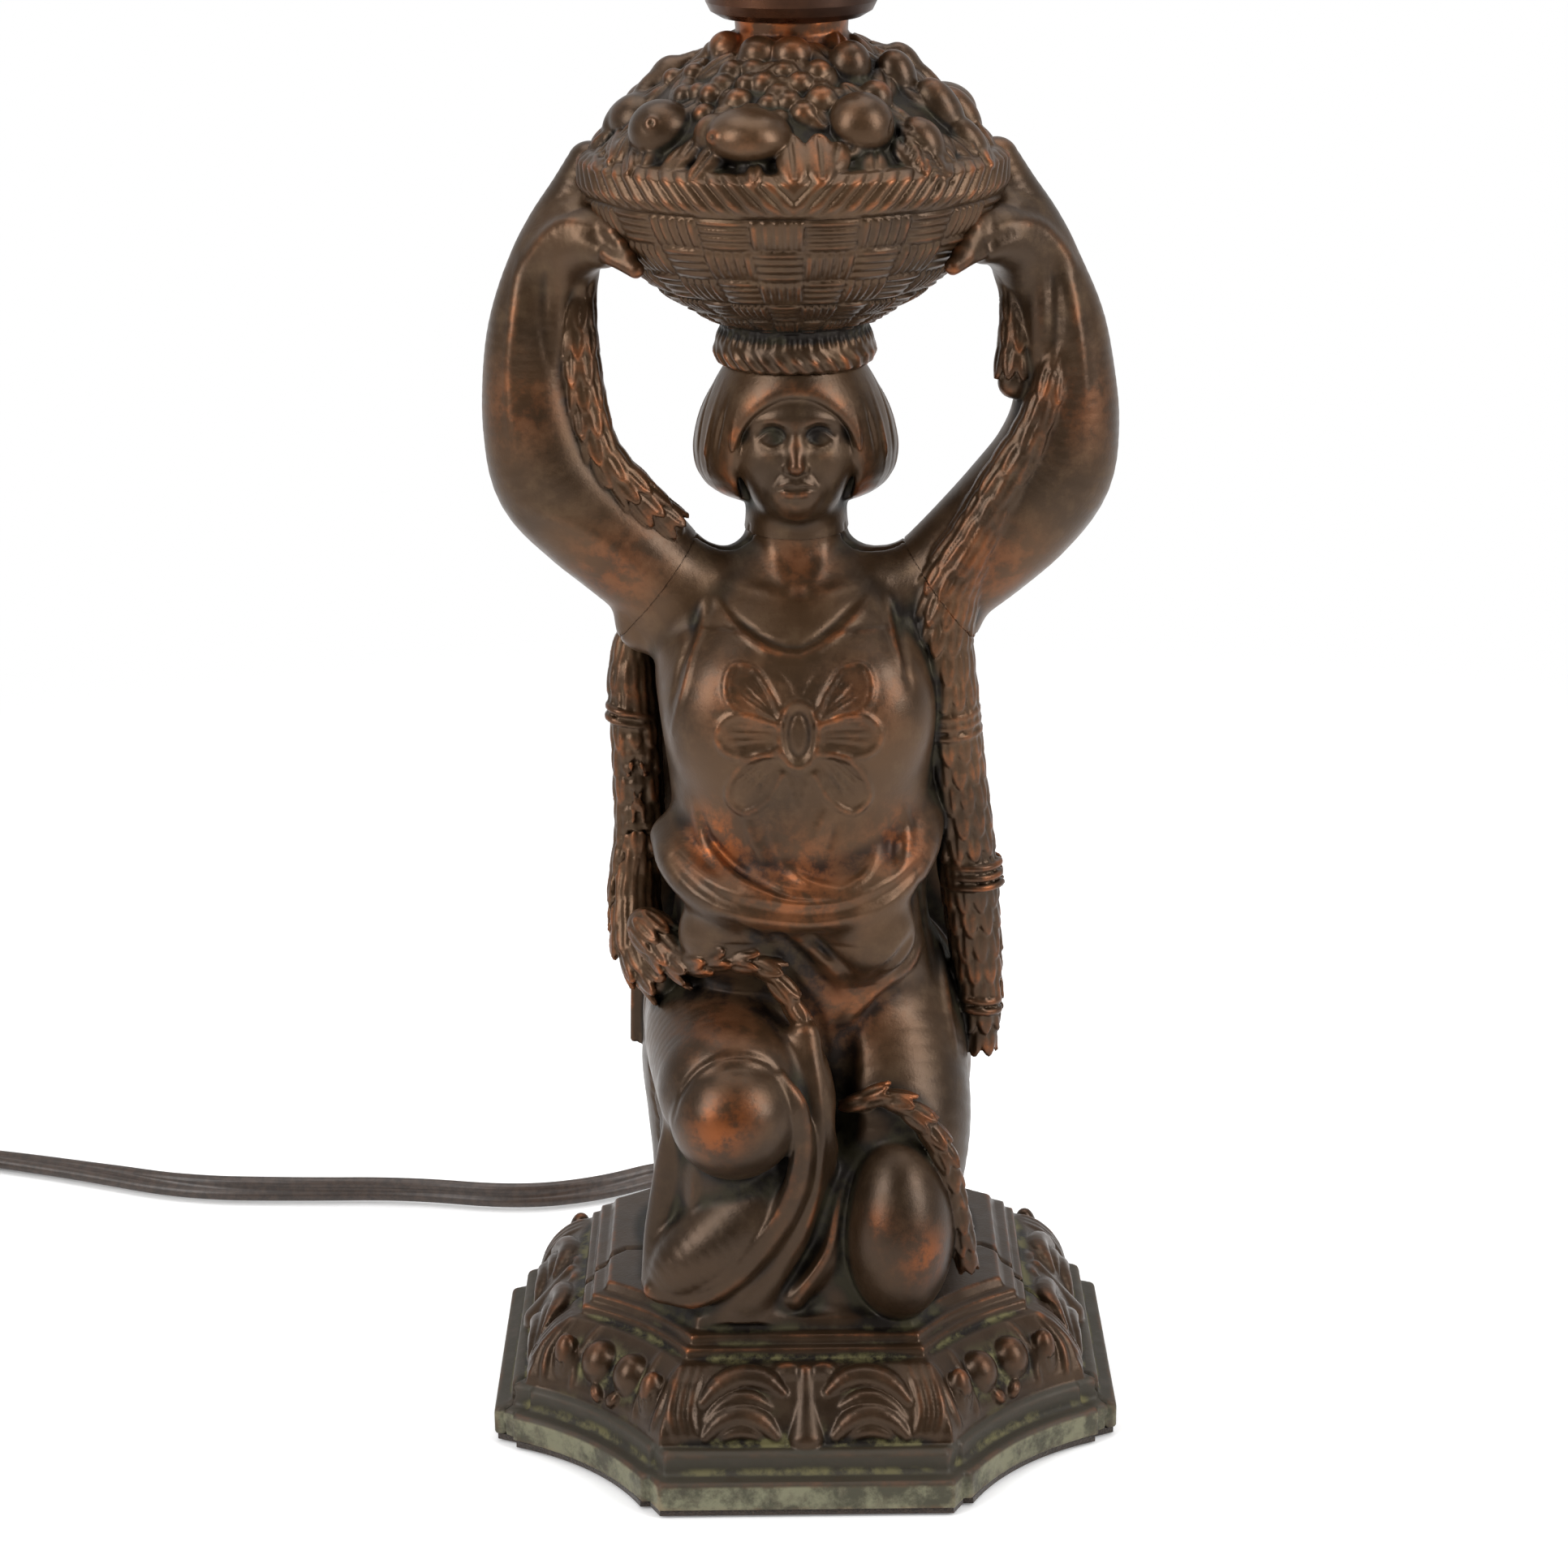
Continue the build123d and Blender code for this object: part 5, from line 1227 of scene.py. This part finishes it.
class Recipe:
    """A material under construction."""

    def __init__(self, name):
        self.material = bpy.data.materials.new(name)
        self.material.use_nodes = True
        self.tree = self.material.node_tree
        self.shader = self.tree.nodes["Principled BSDF"]
        self.place = self.add("ShaderNodeTexCoord").outputs["Object"]

    def add(self, kind, inputs=None, **settings):
        """A node with its settings, and its inputs linked or set."""
        node = self.tree.nodes.new(kind)
        for key, value in settings.items():
            setattr(node, key, value)
        for key, value in (inputs or {}).items():
            self.feed(node.inputs[key], value)
        return node

    def feed(self, socket, value):
        """Links a socket to an input, or sets a plain value on it."""
        if isinstance(value, bpy.types.NodeSocket):
            self.tree.links.new(value, socket)
        else:
            socket.default_value = value

    def noise(self, scale, detail=3.0, rough=0.55, stretch=None):
        """Soft noise fixed to the object, drawn out where stretch is given."""
        where = self.place
        if stretch:
            where = self.add("ShaderNodeMapping", {"Vector": where, "Scale": stretch}).outputs[0]
        return self.add("ShaderNodeTexNoise",
            {"Vector": where, "Scale": scale, "Detail": detail, "Roughness": rough}).outputs[0]

    def maths(self, operation, a, b=0.0, clamp=False):
        """One sum on two values."""
        return self.add("ShaderNodeMath", {0: a, 1: b}, operation=operation,
            use_clamp=clamp).outputs[0]

    def ease(self, value, low, high, bottom=0.0, top=1.0):
        """Eases from bottom at low to top at high."""
        inputs = {"Value": value, "From Min": low, "From Max": high, "To Min": bottom, "To Max": top}
        return self.add("ShaderNodeMapRange", inputs, interpolation_type="SMOOTHSTEP").outputs[0]

    def mix(self, amount, a, b):
        """Colour a turned into colour b by an amount."""
        node = self.add("ShaderNodeMix", data_type="RGBA")
        self.feed(node.inputs[0], amount)
        self.feed(node.inputs[6], a)
        self.feed(node.inputs[7], b)
        return node.outputs[2]

    def mark(self, name):
        """A value kept on the mesh by the sculpting: edge, hollow or rubbed."""
        return self.add("ShaderNodeAttribute", attribute_name=name).outputs["Fac"]

    def bump(self, height, strength, distance):
        """Fine relief from a height."""
        node = self.add("ShaderNodeBump",
            {"Height": height, "Strength": strength, "Distance": distance})
        self.tree.links.new(node.outputs[0], self.shader.inputs["Normal"])

    def finish(self, **inputs):
        """Sets the shader's inputs and gives the material back."""
        for key, value in inputs.items():
            self.feed(self.shader.inputs[key.replace("_", " ")], value)
        return self.material


# %% [markdown]
# The castings are plated, then browned with a patina. Hands and dusters wear it back to
# copper on whatever stands out, and a green bloom stays in the hollows of the foot.

# %% Bronzed spelter
r = Recipe("bronzed_spelter")
edge, hollow, rubbed = r.mark("edge"), r.mark("hollow"), r.mark("rubbed")
height = r.add("ShaderNodeSeparateXYZ", {0: r.place}).outputs[2]
blotch, cloud, grain = r.noise(38.0), r.noise(190.0, 5.0, 0.65), r.noise(1500.0, 2.0, 0.6)
brown = r.mix(r.ease(blotch, 0.35, 0.65), srgb(60, 44, 29), srgb(78, 56, 36))
brown = r.mix(r.ease(cloud, 0.45, 0.75, 0.0, 0.6), brown, srgb(90, 70, 49))
# the brown darkens towards the bottom, from 130 mm down to 30 mm
brown = r.mix(r.ease(height, 0.13, 0.03, 0.0, 0.6), brown, srgb(44, 31, 19))
# recesses painted near black: painted shade, over the darker patina that gathers in them
cavity = r.ease(hollow, -0.03, -0.45)
brown = r.mix(r.maths("MULTIPLY", cavity, 0.95), brown, srgb(20, 14, 9))
band = r.ease(height, 0.0125, 0.0118)
lowest = r.ease(height, 0.0066, 0.0060)
weathered = r.mix(r.ease(r.noise(90.0, 5.0, 0.7), 0.40, 0.60), srgb(116, 114, 90), srgb(60, 58, 42))
foot_shade = r.mix(lowest, srgb(46, 41, 29), weathered)
foot_cover = r.maths("MULTIPLY", band, r.ease(cloud, 0.25, 0.5, 0.45, 0.92))
brown = r.mix(foot_cover, brown, foot_shade)
bloom_zone = r.ease(height, 0.032, 0.024, 0.12, 0.8)
bloom = r.maths("MULTIPLY", r.maths("MULTIPLY", r.ease(hollow, -0.12, -0.5),
    r.ease(cloud, 0.42, 0.62)), bloom_zone)
brown = r.mix(bloom, brown, srgb(108, 102, 66))
patchy = r.ease(cloud, 0.42, 0.70, 0.12, 1.0)
worn = r.maths("MULTIPLY", r.ease(edge, 0.12, 0.5, 0.0, 0.6), patchy)
touch = r.maths("MULTIPLY", rubbed, r.ease(cloud, 0.40, 0.58, 0.15, 1.0))
worn = r.maths("ADD", worn, touch, clamp=True)
worn = r.maths("MULTIPLY", worn, r.ease(height, 0.010, 0.034, 0.25, 1.0))
copper = r.mix(r.ease(blotch, 0.4, 0.6), srgb(148, 80, 38), srgb(172, 98, 54))
colour = r.mix(worn, brown, copper)
metal = r.ease(worn, 0.0, 1.0, 0.62, 0.85)
metal = r.maths("MULTIPLY", metal, r.ease(band, 0.0, 1.0, 1.0, 0.35))
gloss = r.maths("ADD", r.ease(worn, 0.0, 1.0, 0.36, 0.30), r.ease(cloud, 0.3, 0.7, -0.05, 0.07))
gloss = r.maths("ADD", gloss, r.maths("MULTIPLY", band, 0.2))
gloss = r.maths("ADD", gloss, r.maths("MULTIPLY", cavity, 0.15))
relief = r.maths("ADD", r.maths("MULTIPLY", cloud, 0.6), r.maths("MULTIPLY", grain, 0.4))
r.bump(relief, 0.2, 0.0004)
bronzed_spelter = r.finish(Base_Color=colour, Metallic=metal, Roughness=gloss)
for piece in castings:
    piece.data.materials.append(bronzed_spelter)
print("castings finished", len(castings))

# %% [markdown]
# ## Hardware
#
# The socket, pipe, nuts and plug keep their CAD shapes. Each gets a finish with its own
# grain: plated steel, aged brass, spun aluminium, moulded phenolic and card.

# %% Hardware finishes
def metal_finish(name, light, dark, rough, wear_scale=160.0, metallic=1.0, spin=None):
    """A metal with uneven tarnish and fine scratches, drawn round the axis where spin is set."""
    r = Recipe(name)
    tarnish = r.ease(r.noise(wear_scale, 4.0, 0.6), 0.35, 0.68)
    lines = r.noise(900.0, 2.0, 0.5, stretch=spin or (1.0, 1.0, 1.0))
    r.bump(lines, 0.10, 0.0002)
    gloss = r.ease(tarnish, 0.0, 1.0, rough - 0.06, rough + 0.12)
    return r.finish(Base_Color=r.mix(tarnish, srgb(*light), srgb(*dark)), Metallic=metallic,
        Roughness=gloss)


def plain_finish(name, light, dark, rough, scale, bump=0.15, metallic=0.0, sheen=0.0):
    """A moulded, pressed or felted stuff with flecks of a second colour."""
    r = Recipe(name)
    fleck = r.noise(scale, 5.0, 0.7)
    r.bump(fleck, bump, 0.0003)
    gloss = r.ease(fleck, 0.2, 0.8, rough - 0.06, rough + 0.06)
    mixed = r.mix(r.ease(fleck, 0.38, 0.62), srgb(*light), srgb(*dark))
    return r.finish(Base_Color=mixed, Metallic=metallic, Roughness=gloss, Sheen_Weight=sheen)


hardware = {
    "plated_steel": metal_finish("plated_steel", (176, 172, 162), (120, 114, 102), 0.34),
    "antique_brass": metal_finish("antique_brass", (92, 58, 38), (54, 34, 23),
        0.30, 60.0, 0.75, (0.15, 0.15, 3.0)),
    "spun_aluminium": metal_finish("spun_aluminium", (196, 194, 188), (150, 147, 140),
        0.28, 90.0, 1.0, (0.1, 0.1, 4.0)),
    "contact_brass": metal_finish("contact_brass", (196, 160, 84), (140, 106, 52), 0.30),
    "fibre_liner": plain_finish("fibre_liner", (118, 104, 88), (88, 76, 62), 0.85, 420.0, 0.3),
    "black_phenolic": plain_finish("black_phenolic", (34, 27, 23), (18, 15, 13), 0.30, 300.0, 0.08),
    "felt": plain_finish("felt", (58, 44, 33), (34, 26, 20), 0.95, 2200.0, 0.9, 0.0, 0.3),
    "brown_vinyl": plain_finish("brown_vinyl", (66, 52, 44), (48, 38, 32), 0.42, 500.0, 0.12),
}
worn_by = {
    "plated_steel": ["lamp_pipe", "bottom_washer", "bottom_nut", "top_nut", "terminal_screws"],
    "antique_brass": ["socket_cap", "socket_shell"],
    "spun_aluminium": ["screw_shell"],
    "contact_brass": ["centre_contact", "plug_blades", "switch_shaft"],
    "fibre_liner": ["paper_liner"],
    "black_phenolic": ["socket_body", "turn_knob"],
    "felt": ["felt_pad"],
    "brown_vinyl": ["plug_body", "cord_bushing"],
}
for finish_name, names in worn_by.items():
    for name in names:
        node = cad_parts[name]
        node.data.materials.clear()
        node.data.materials.append(hardware[finish_name])
print("hardware finished", sum(len(v) for v in worn_by.values()))

# %% [markdown]
# ## Flex
#
# The flex is a flat twin lead of brown vinyl. It leaves the foot at the back, rolls on
# to its edge beside the lamp, then lies flat and goes away into a coil with the plug.
# Its line is one smooth spline, and the twin section follows points read from it.

# %% Route of the flex
FLEX_WIDTH, FLEX_THICK = 5.6, 2.8
EXIT = (0, 60.5, 8.5)
route = [
    EXIT, (0, 82, 7.4), (-12, 97, 5.2), (-31, 102, 3.4), (-47, 92, 3.0), (-66, 87.5, 3.0),
    (-92, 93.6, 3.0),
    (-118, 94, 2.9), (-144, 96, 2.7), (-170, 108.2, 2.0), (-200, 120, 1.5), (-232, 128.4, 1.5),
]
COIL_TURNS, COIL_MEAN, COIL_PITCH, COIL_RISE = 4, 33.4, 6.2, 3.35
PER_TURN = 24
level = 1.5
start = np.array(route[-1][:2])
heading = start - np.array(route[-2][:2])
heading /= np.linalg.norm(heading)
leftward = np.array([-heading[1], heading[0]])
outer = COIL_MEAN + COIL_PITCH * COIL_TURNS / 2
centre = start + leftward * outer
bearing = math.atan2(-heading[0], heading[1])
coil = []
for k in range(1, (2 * COIL_TURNS - 1) * PER_TURN + 1):
    turns = k / PER_TURN
    past = max(0.0, turns - COIL_TURNS)
    inward = turns if not past else COIL_TURNS - (3 * min(past, 0.5) + max(0.0, past - 0.5))
    climb = COIL_RISE * min(1.0, max(0.0, 2 * (turns - COIL_TURNS + 0.5)))
    radius = outer - COIL_PITCH * inward
    angle = bearing + 2 * math.pi * turns
    coil.append((centre[0] + radius * math.cos(angle), centre[1] + radius * math.sin(angle),
        level + climb))
tail_turn = math.radians(-75)
tail_way = np.array([
    heading[0] * math.cos(tail_turn) - heading[1] * math.sin(tail_turn),
    heading[0] * math.sin(tail_turn) + heading[1] * math.cos(tail_turn),
])
tail_bend = np.array(coil[-1][:2]) + heading * 24 - leftward * 18
tail_mid = np.array(coil[-1][:2]) + heading * 17 - leftward * 3
tail_end = tail_bend + tail_way * 6
tail = [(*tail_mid, level + COIL_RISE), (*tail_bend, level + COIL_RISE),
    (*tail_end, level + COIL_RISE)]
line = bpy.data.curves.new("flex_line", "CURVE")
line.dimensions = "3D"
line.resolution_u = 8
spline_u = line.splines.new("NURBS")
stops = [*route, *coil, *tail]
spline_u.points.add(len(stops) - 1)
for point, place in zip(spline_u.points, stops):
    point.co = (*(v * MM for v in place), 1)
spline_u.order_u = 3
spline_u.use_endpoint_u = True
guide = bpy.data.objects.new("flex_guide", line)
bpy.context.scene.collection.objects.link(guide)
bpy.context.view_layer.update()
traced = bpy.data.meshes.new_from_object(guide)
trace = np.array([v.co for v in traced.vertices]) / MM
bpy.data.objects.remove(guide)
run = np.concatenate([[0], np.cumsum(np.linalg.norm(np.diff(trace, axis=0), axis=1))])
print("flex length", round(run[-1]), "mm, points", len(trace))

# %% [markdown]
# The lead's section is a figure of eight: two round wires in one jacket, ribbed on one
# side so that the polarity can be felt. A section is carried along points read from the
# spline, and rolled about them where the lead turns on to its edge.

# %% Twin section along the route
def even(points, gap):
    """The same line with points a fixed gap apart, and how far along each is."""
    run = np.concatenate([[0], np.cumsum(np.linalg.norm(np.diff(points, axis=0), axis=1))])
    where = np.linspace(0, run[-1], round(run[-1] / gap) + 1)
    return np.column_stack([np.interp(where, run, points[:, i]) for i in range(3)]), where


def sleeve(name, points, section, roll, replaced=()):
    """A mesh that carries a section of (across, up) along points, rolled about them by radians."""
    ways = np.gradient(points, axis=0)
    ways /= np.linalg.norm(ways, axis=1, keepdims=True)
    side = np.cross(ways, (0, 0, 1))
    side /= np.maximum(np.linalg.norm(side, axis=1, keepdims=True), 1e-6)
    up = np.cross(side, ways)
    turned = side * np.cos(roll)[:, None] + up * np.sin(roll)[:, None]
    raised = np.cross(turned, ways)
    rings = points[:, None] + turned[:, None] * section[..., 0:1] + raised[:, None] * section[..., 1:2]
    count, around = rings.shape[:2]
    corners = np.arange(count * around).reshape(count, around)
    a, b = corners[:-1], corners[1:]
    faces = np.stack([a, np.roll(a, -1, 1), np.roll(b, -1, 1), b], axis=-1).reshape(-1, 4).tolist()
    faces += [corners[0][::-1].tolist(), corners[-1].tolist()]
    mesh = bpy.data.meshes.new(name)
    mesh.from_pydata((rings.reshape(-1, 3) * MM).tolist(), [], faces)
    mesh.polygons.foreach_set("use_smooth", [True] * len(mesh.polygons))
    piece = bpy.data.objects.new(name, mesh)
    bpy.context.scene.collection.objects.link(piece)
    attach(piece, "root")
    if replaced:
        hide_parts(*replaced)
    mesh.materials.append(hardware["brown_vinyl"])
    print(name, len(mesh.polygons), "faces")
    return piece


angles = np.linspace(0, 2 * math.pi, 40, endpoint=False)
core = FLEX_THICK / 2
# a waist that isn't a slit, and five fine ribs along one lobe
sweep = np.radians(np.linspace(-138, 138, 27))
half = np.array([(core + core * math.cos(t), core * math.sin(t)) for t in sweep])
ribs = 1 + 0.045 * np.cos(sweep * 13)
ribbed = np.column_stack([core + (half[:, 0] - core) * ribs, half[:, 1] * ribs])
twin = np.vstack([ribbed, np.column_stack([-half[:, 0], -half[:, 1]])])
points, where = even(trace, 1.0)
free_run = np.cumsum([0, *np.linalg.norm(np.diff(np.array(route), axis=0), axis=1)])
rolls = np.radians([0, 0, 25, 50, 65, 78, 88, 80, 55, 18, 0, 0])
roll = np.interp(where, free_run * 0.985, rolls)
flex = sleeve("flex", points, np.broadcast_to(twin, (len(points), *twin.shape)),
    roll, ["cord", "cord_coil"])

# %% [markdown]
# A tapered sleeve keeps the flex from bending sharply where it leaves the foot, and the
# same lead runs on inside, through the foot and up the pipe to the socket.

# %% Strain relief and the lead inside
points, where = even(trace[run < 25], 0.5)
taper = np.interp(where, [0, 2, 2.6, 24], [1.45, 1.45, 1.30, 1.08])
ring_groove = 1 - 0.06 * (np.sin(where * 2 * math.pi / 3.2) > 0.55) * (where > 3) * (where < 20)
oval = np.column_stack([(FLEX_WIDTH / 2) * np.cos(angles), (FLEX_THICK / 2 + 0.5) * np.sin(angles)])
scale = (taper * ring_groove)[:, None, None] * np.ones((1, 1, 2))
relief_sleeve = sleeve("strain_relief", points, oval[None] * scale, np.zeros(len(points)))
inner = np.array([(0, 60.4, 8.5), (0, 40, 8.5), (0, 14, 8.5), (0, 1.5, 10), (0, 0, 24), (0, 0, 160),
    (0, 0, 294)])
inner_points, where = even(spline(np.column_stack([inner, np.zeros(len(inner))]), 240)[:, :3], 1.5)
inner_points[:, 0] += 1e-3
inner_points = np.clip(inner_points, (-1, 0, 8.5), (1, 61, 294))
inner_section = np.broadcast_to(twin * 0.98, (len(inner_points), *twin.shape))
sleeve("inner_lead", inner_points, inner_section, np.zeros(len(inner_points)), ["inner_cord"])

# %% [markdown]
# ## Floor and light
#
# Two large soft boxes stand in front, one each side, with another overhead. The floor
# is white, and shows as white in the metal too.

# %% Floor, backdrop and lights
floor_mesh = bpy.data.meshes.new("floor")
floor_mesh.from_pydata([(-4, -4, -0.0006), (4, -4, -0.0006), (4, 6, -0.0006), (-4, 6, -0.0006)],
    [], [(0, 1, 2, 3)])
floor = bpy.data.objects.new("floor", floor_mesh)
bpy.context.scene.collection.objects.link(floor)
floor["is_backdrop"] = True
r = Recipe("white_floor")
rays = r.add("ShaderNodeLightPath")
shown = r.maths("ADD", rays.outputs["Is Camera Ray"], rays.outputs["Is Glossy Ray"], clamp=True)
shown = r.maths("ADD", shown, rays.outputs["Is Transmission Ray"], clamp=True)
away = r.add("ShaderNodeVectorMath", {0: r.place}, operation="LENGTH").outputs["Value"]
far = r.maths("MULTIPLY", r.ease(away, 0.28, 0.60), shown)
near = r.finish(Base_Color=(0.9, 0.9, 0.9, 1), Roughness=0.8, Emission_Color=(1, 1, 1, 1),
    Emission_Strength=r.maths("MULTIPLY", shown, 0.16))
white = r.add("ShaderNodeEmission", {"Color": (1, 1, 1, 1), "Strength": 1.0})
blend = r.add("ShaderNodeMixShader", {0: far, 1: r.shader.outputs[0], 2: white.outputs[0]})
r.tree.links.new(blend.outputs[0], r.tree.nodes["Material Output"].inputs[0])
floor_mesh.materials.append(near)
print("floor", floor.name)

# %% [markdown]
# The world gives an even, low light, brighter from behind the camera's subject than from
# the front, and white where the camera looks straight at it.

# %% World
world = bpy.data.worlds.new("studio")
bpy.context.scene.world = world
world.use_nodes = True
sky = world.node_tree
rays = sky.nodes.new("ShaderNodeLightPath")
place = sky.nodes.new("ShaderNodeTexCoord")
split = sky.nodes.new("ShaderNodeSeparateXYZ")
sky.links.new(place.outputs["Generated"], split.inputs[0])
side = sky.nodes.new("ShaderNodeMapRange")
side.inputs["From Min"].default_value, side.inputs["From Max"].default_value = -0.35, 0.55
side.inputs["To Min"].default_value, side.inputs["To Max"].default_value = 0.10, 0.75
sky.links.new(split.outputs["Y"], side.inputs["Value"])
most = sky.nodes.new("ShaderNodeMath")
most.operation = "MAXIMUM"
sky.links.new(side.outputs[0], most.inputs[0])
sky.links.new(rays.outputs["Is Camera Ray"], most.inputs[1])
sky.links.new(most.outputs[0], sky.nodes["Background"].inputs["Strength"])
sky.nodes["Background"].inputs["Color"].default_value = (1, 1, 1, 1)
print("world", world.name)

# %% [markdown]
# Soft boxes give the long highlights on the bronze. Each faces a point low on the lamp.

# %% Soft boxes
AIM = Vector((0, 0, 0.15))
for name, place, size, power in (
    ("left_box", (-0.95, -0.70, 0.80), (0.6, 1.0), 15.0),
    ("right_box", (0.98, -0.60, 0.75), (0.55, 1.0), 14.0),
    ("top_box", (0.0, 0.15, 1.35), (1.2, 0.9), 9.0),
):
    lamp = bpy.data.lights.new(name, "AREA")
    lamp.shape = "RECTANGLE"
    lamp.size, lamp.size_y = size
    lamp.energy = power
    box = bpy.data.objects.new(name, lamp)
    box.location = place
    box.rotation_mode = "QUATERNION"
    box.rotation_quaternion = (AIM - Vector(place)).to_track_quat("-Z", "Y")
    bpy.context.scene.collection.objects.link(box)

bpy.context.scene.view_settings.view_transform = "Standard"

# %% [markdown]
# ## Finish
#
# The size of what shows is put beside the size of the CAD model, so they can be
# compared, and the last line prints the box of what shows.

# %% Size and finish
low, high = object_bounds()
size = {"cad": [list(cad_low), list(cad_high)], "visual": [list(low), list(high)]}
print("visual box", [round(v, 4) for v in (*low, *high)])
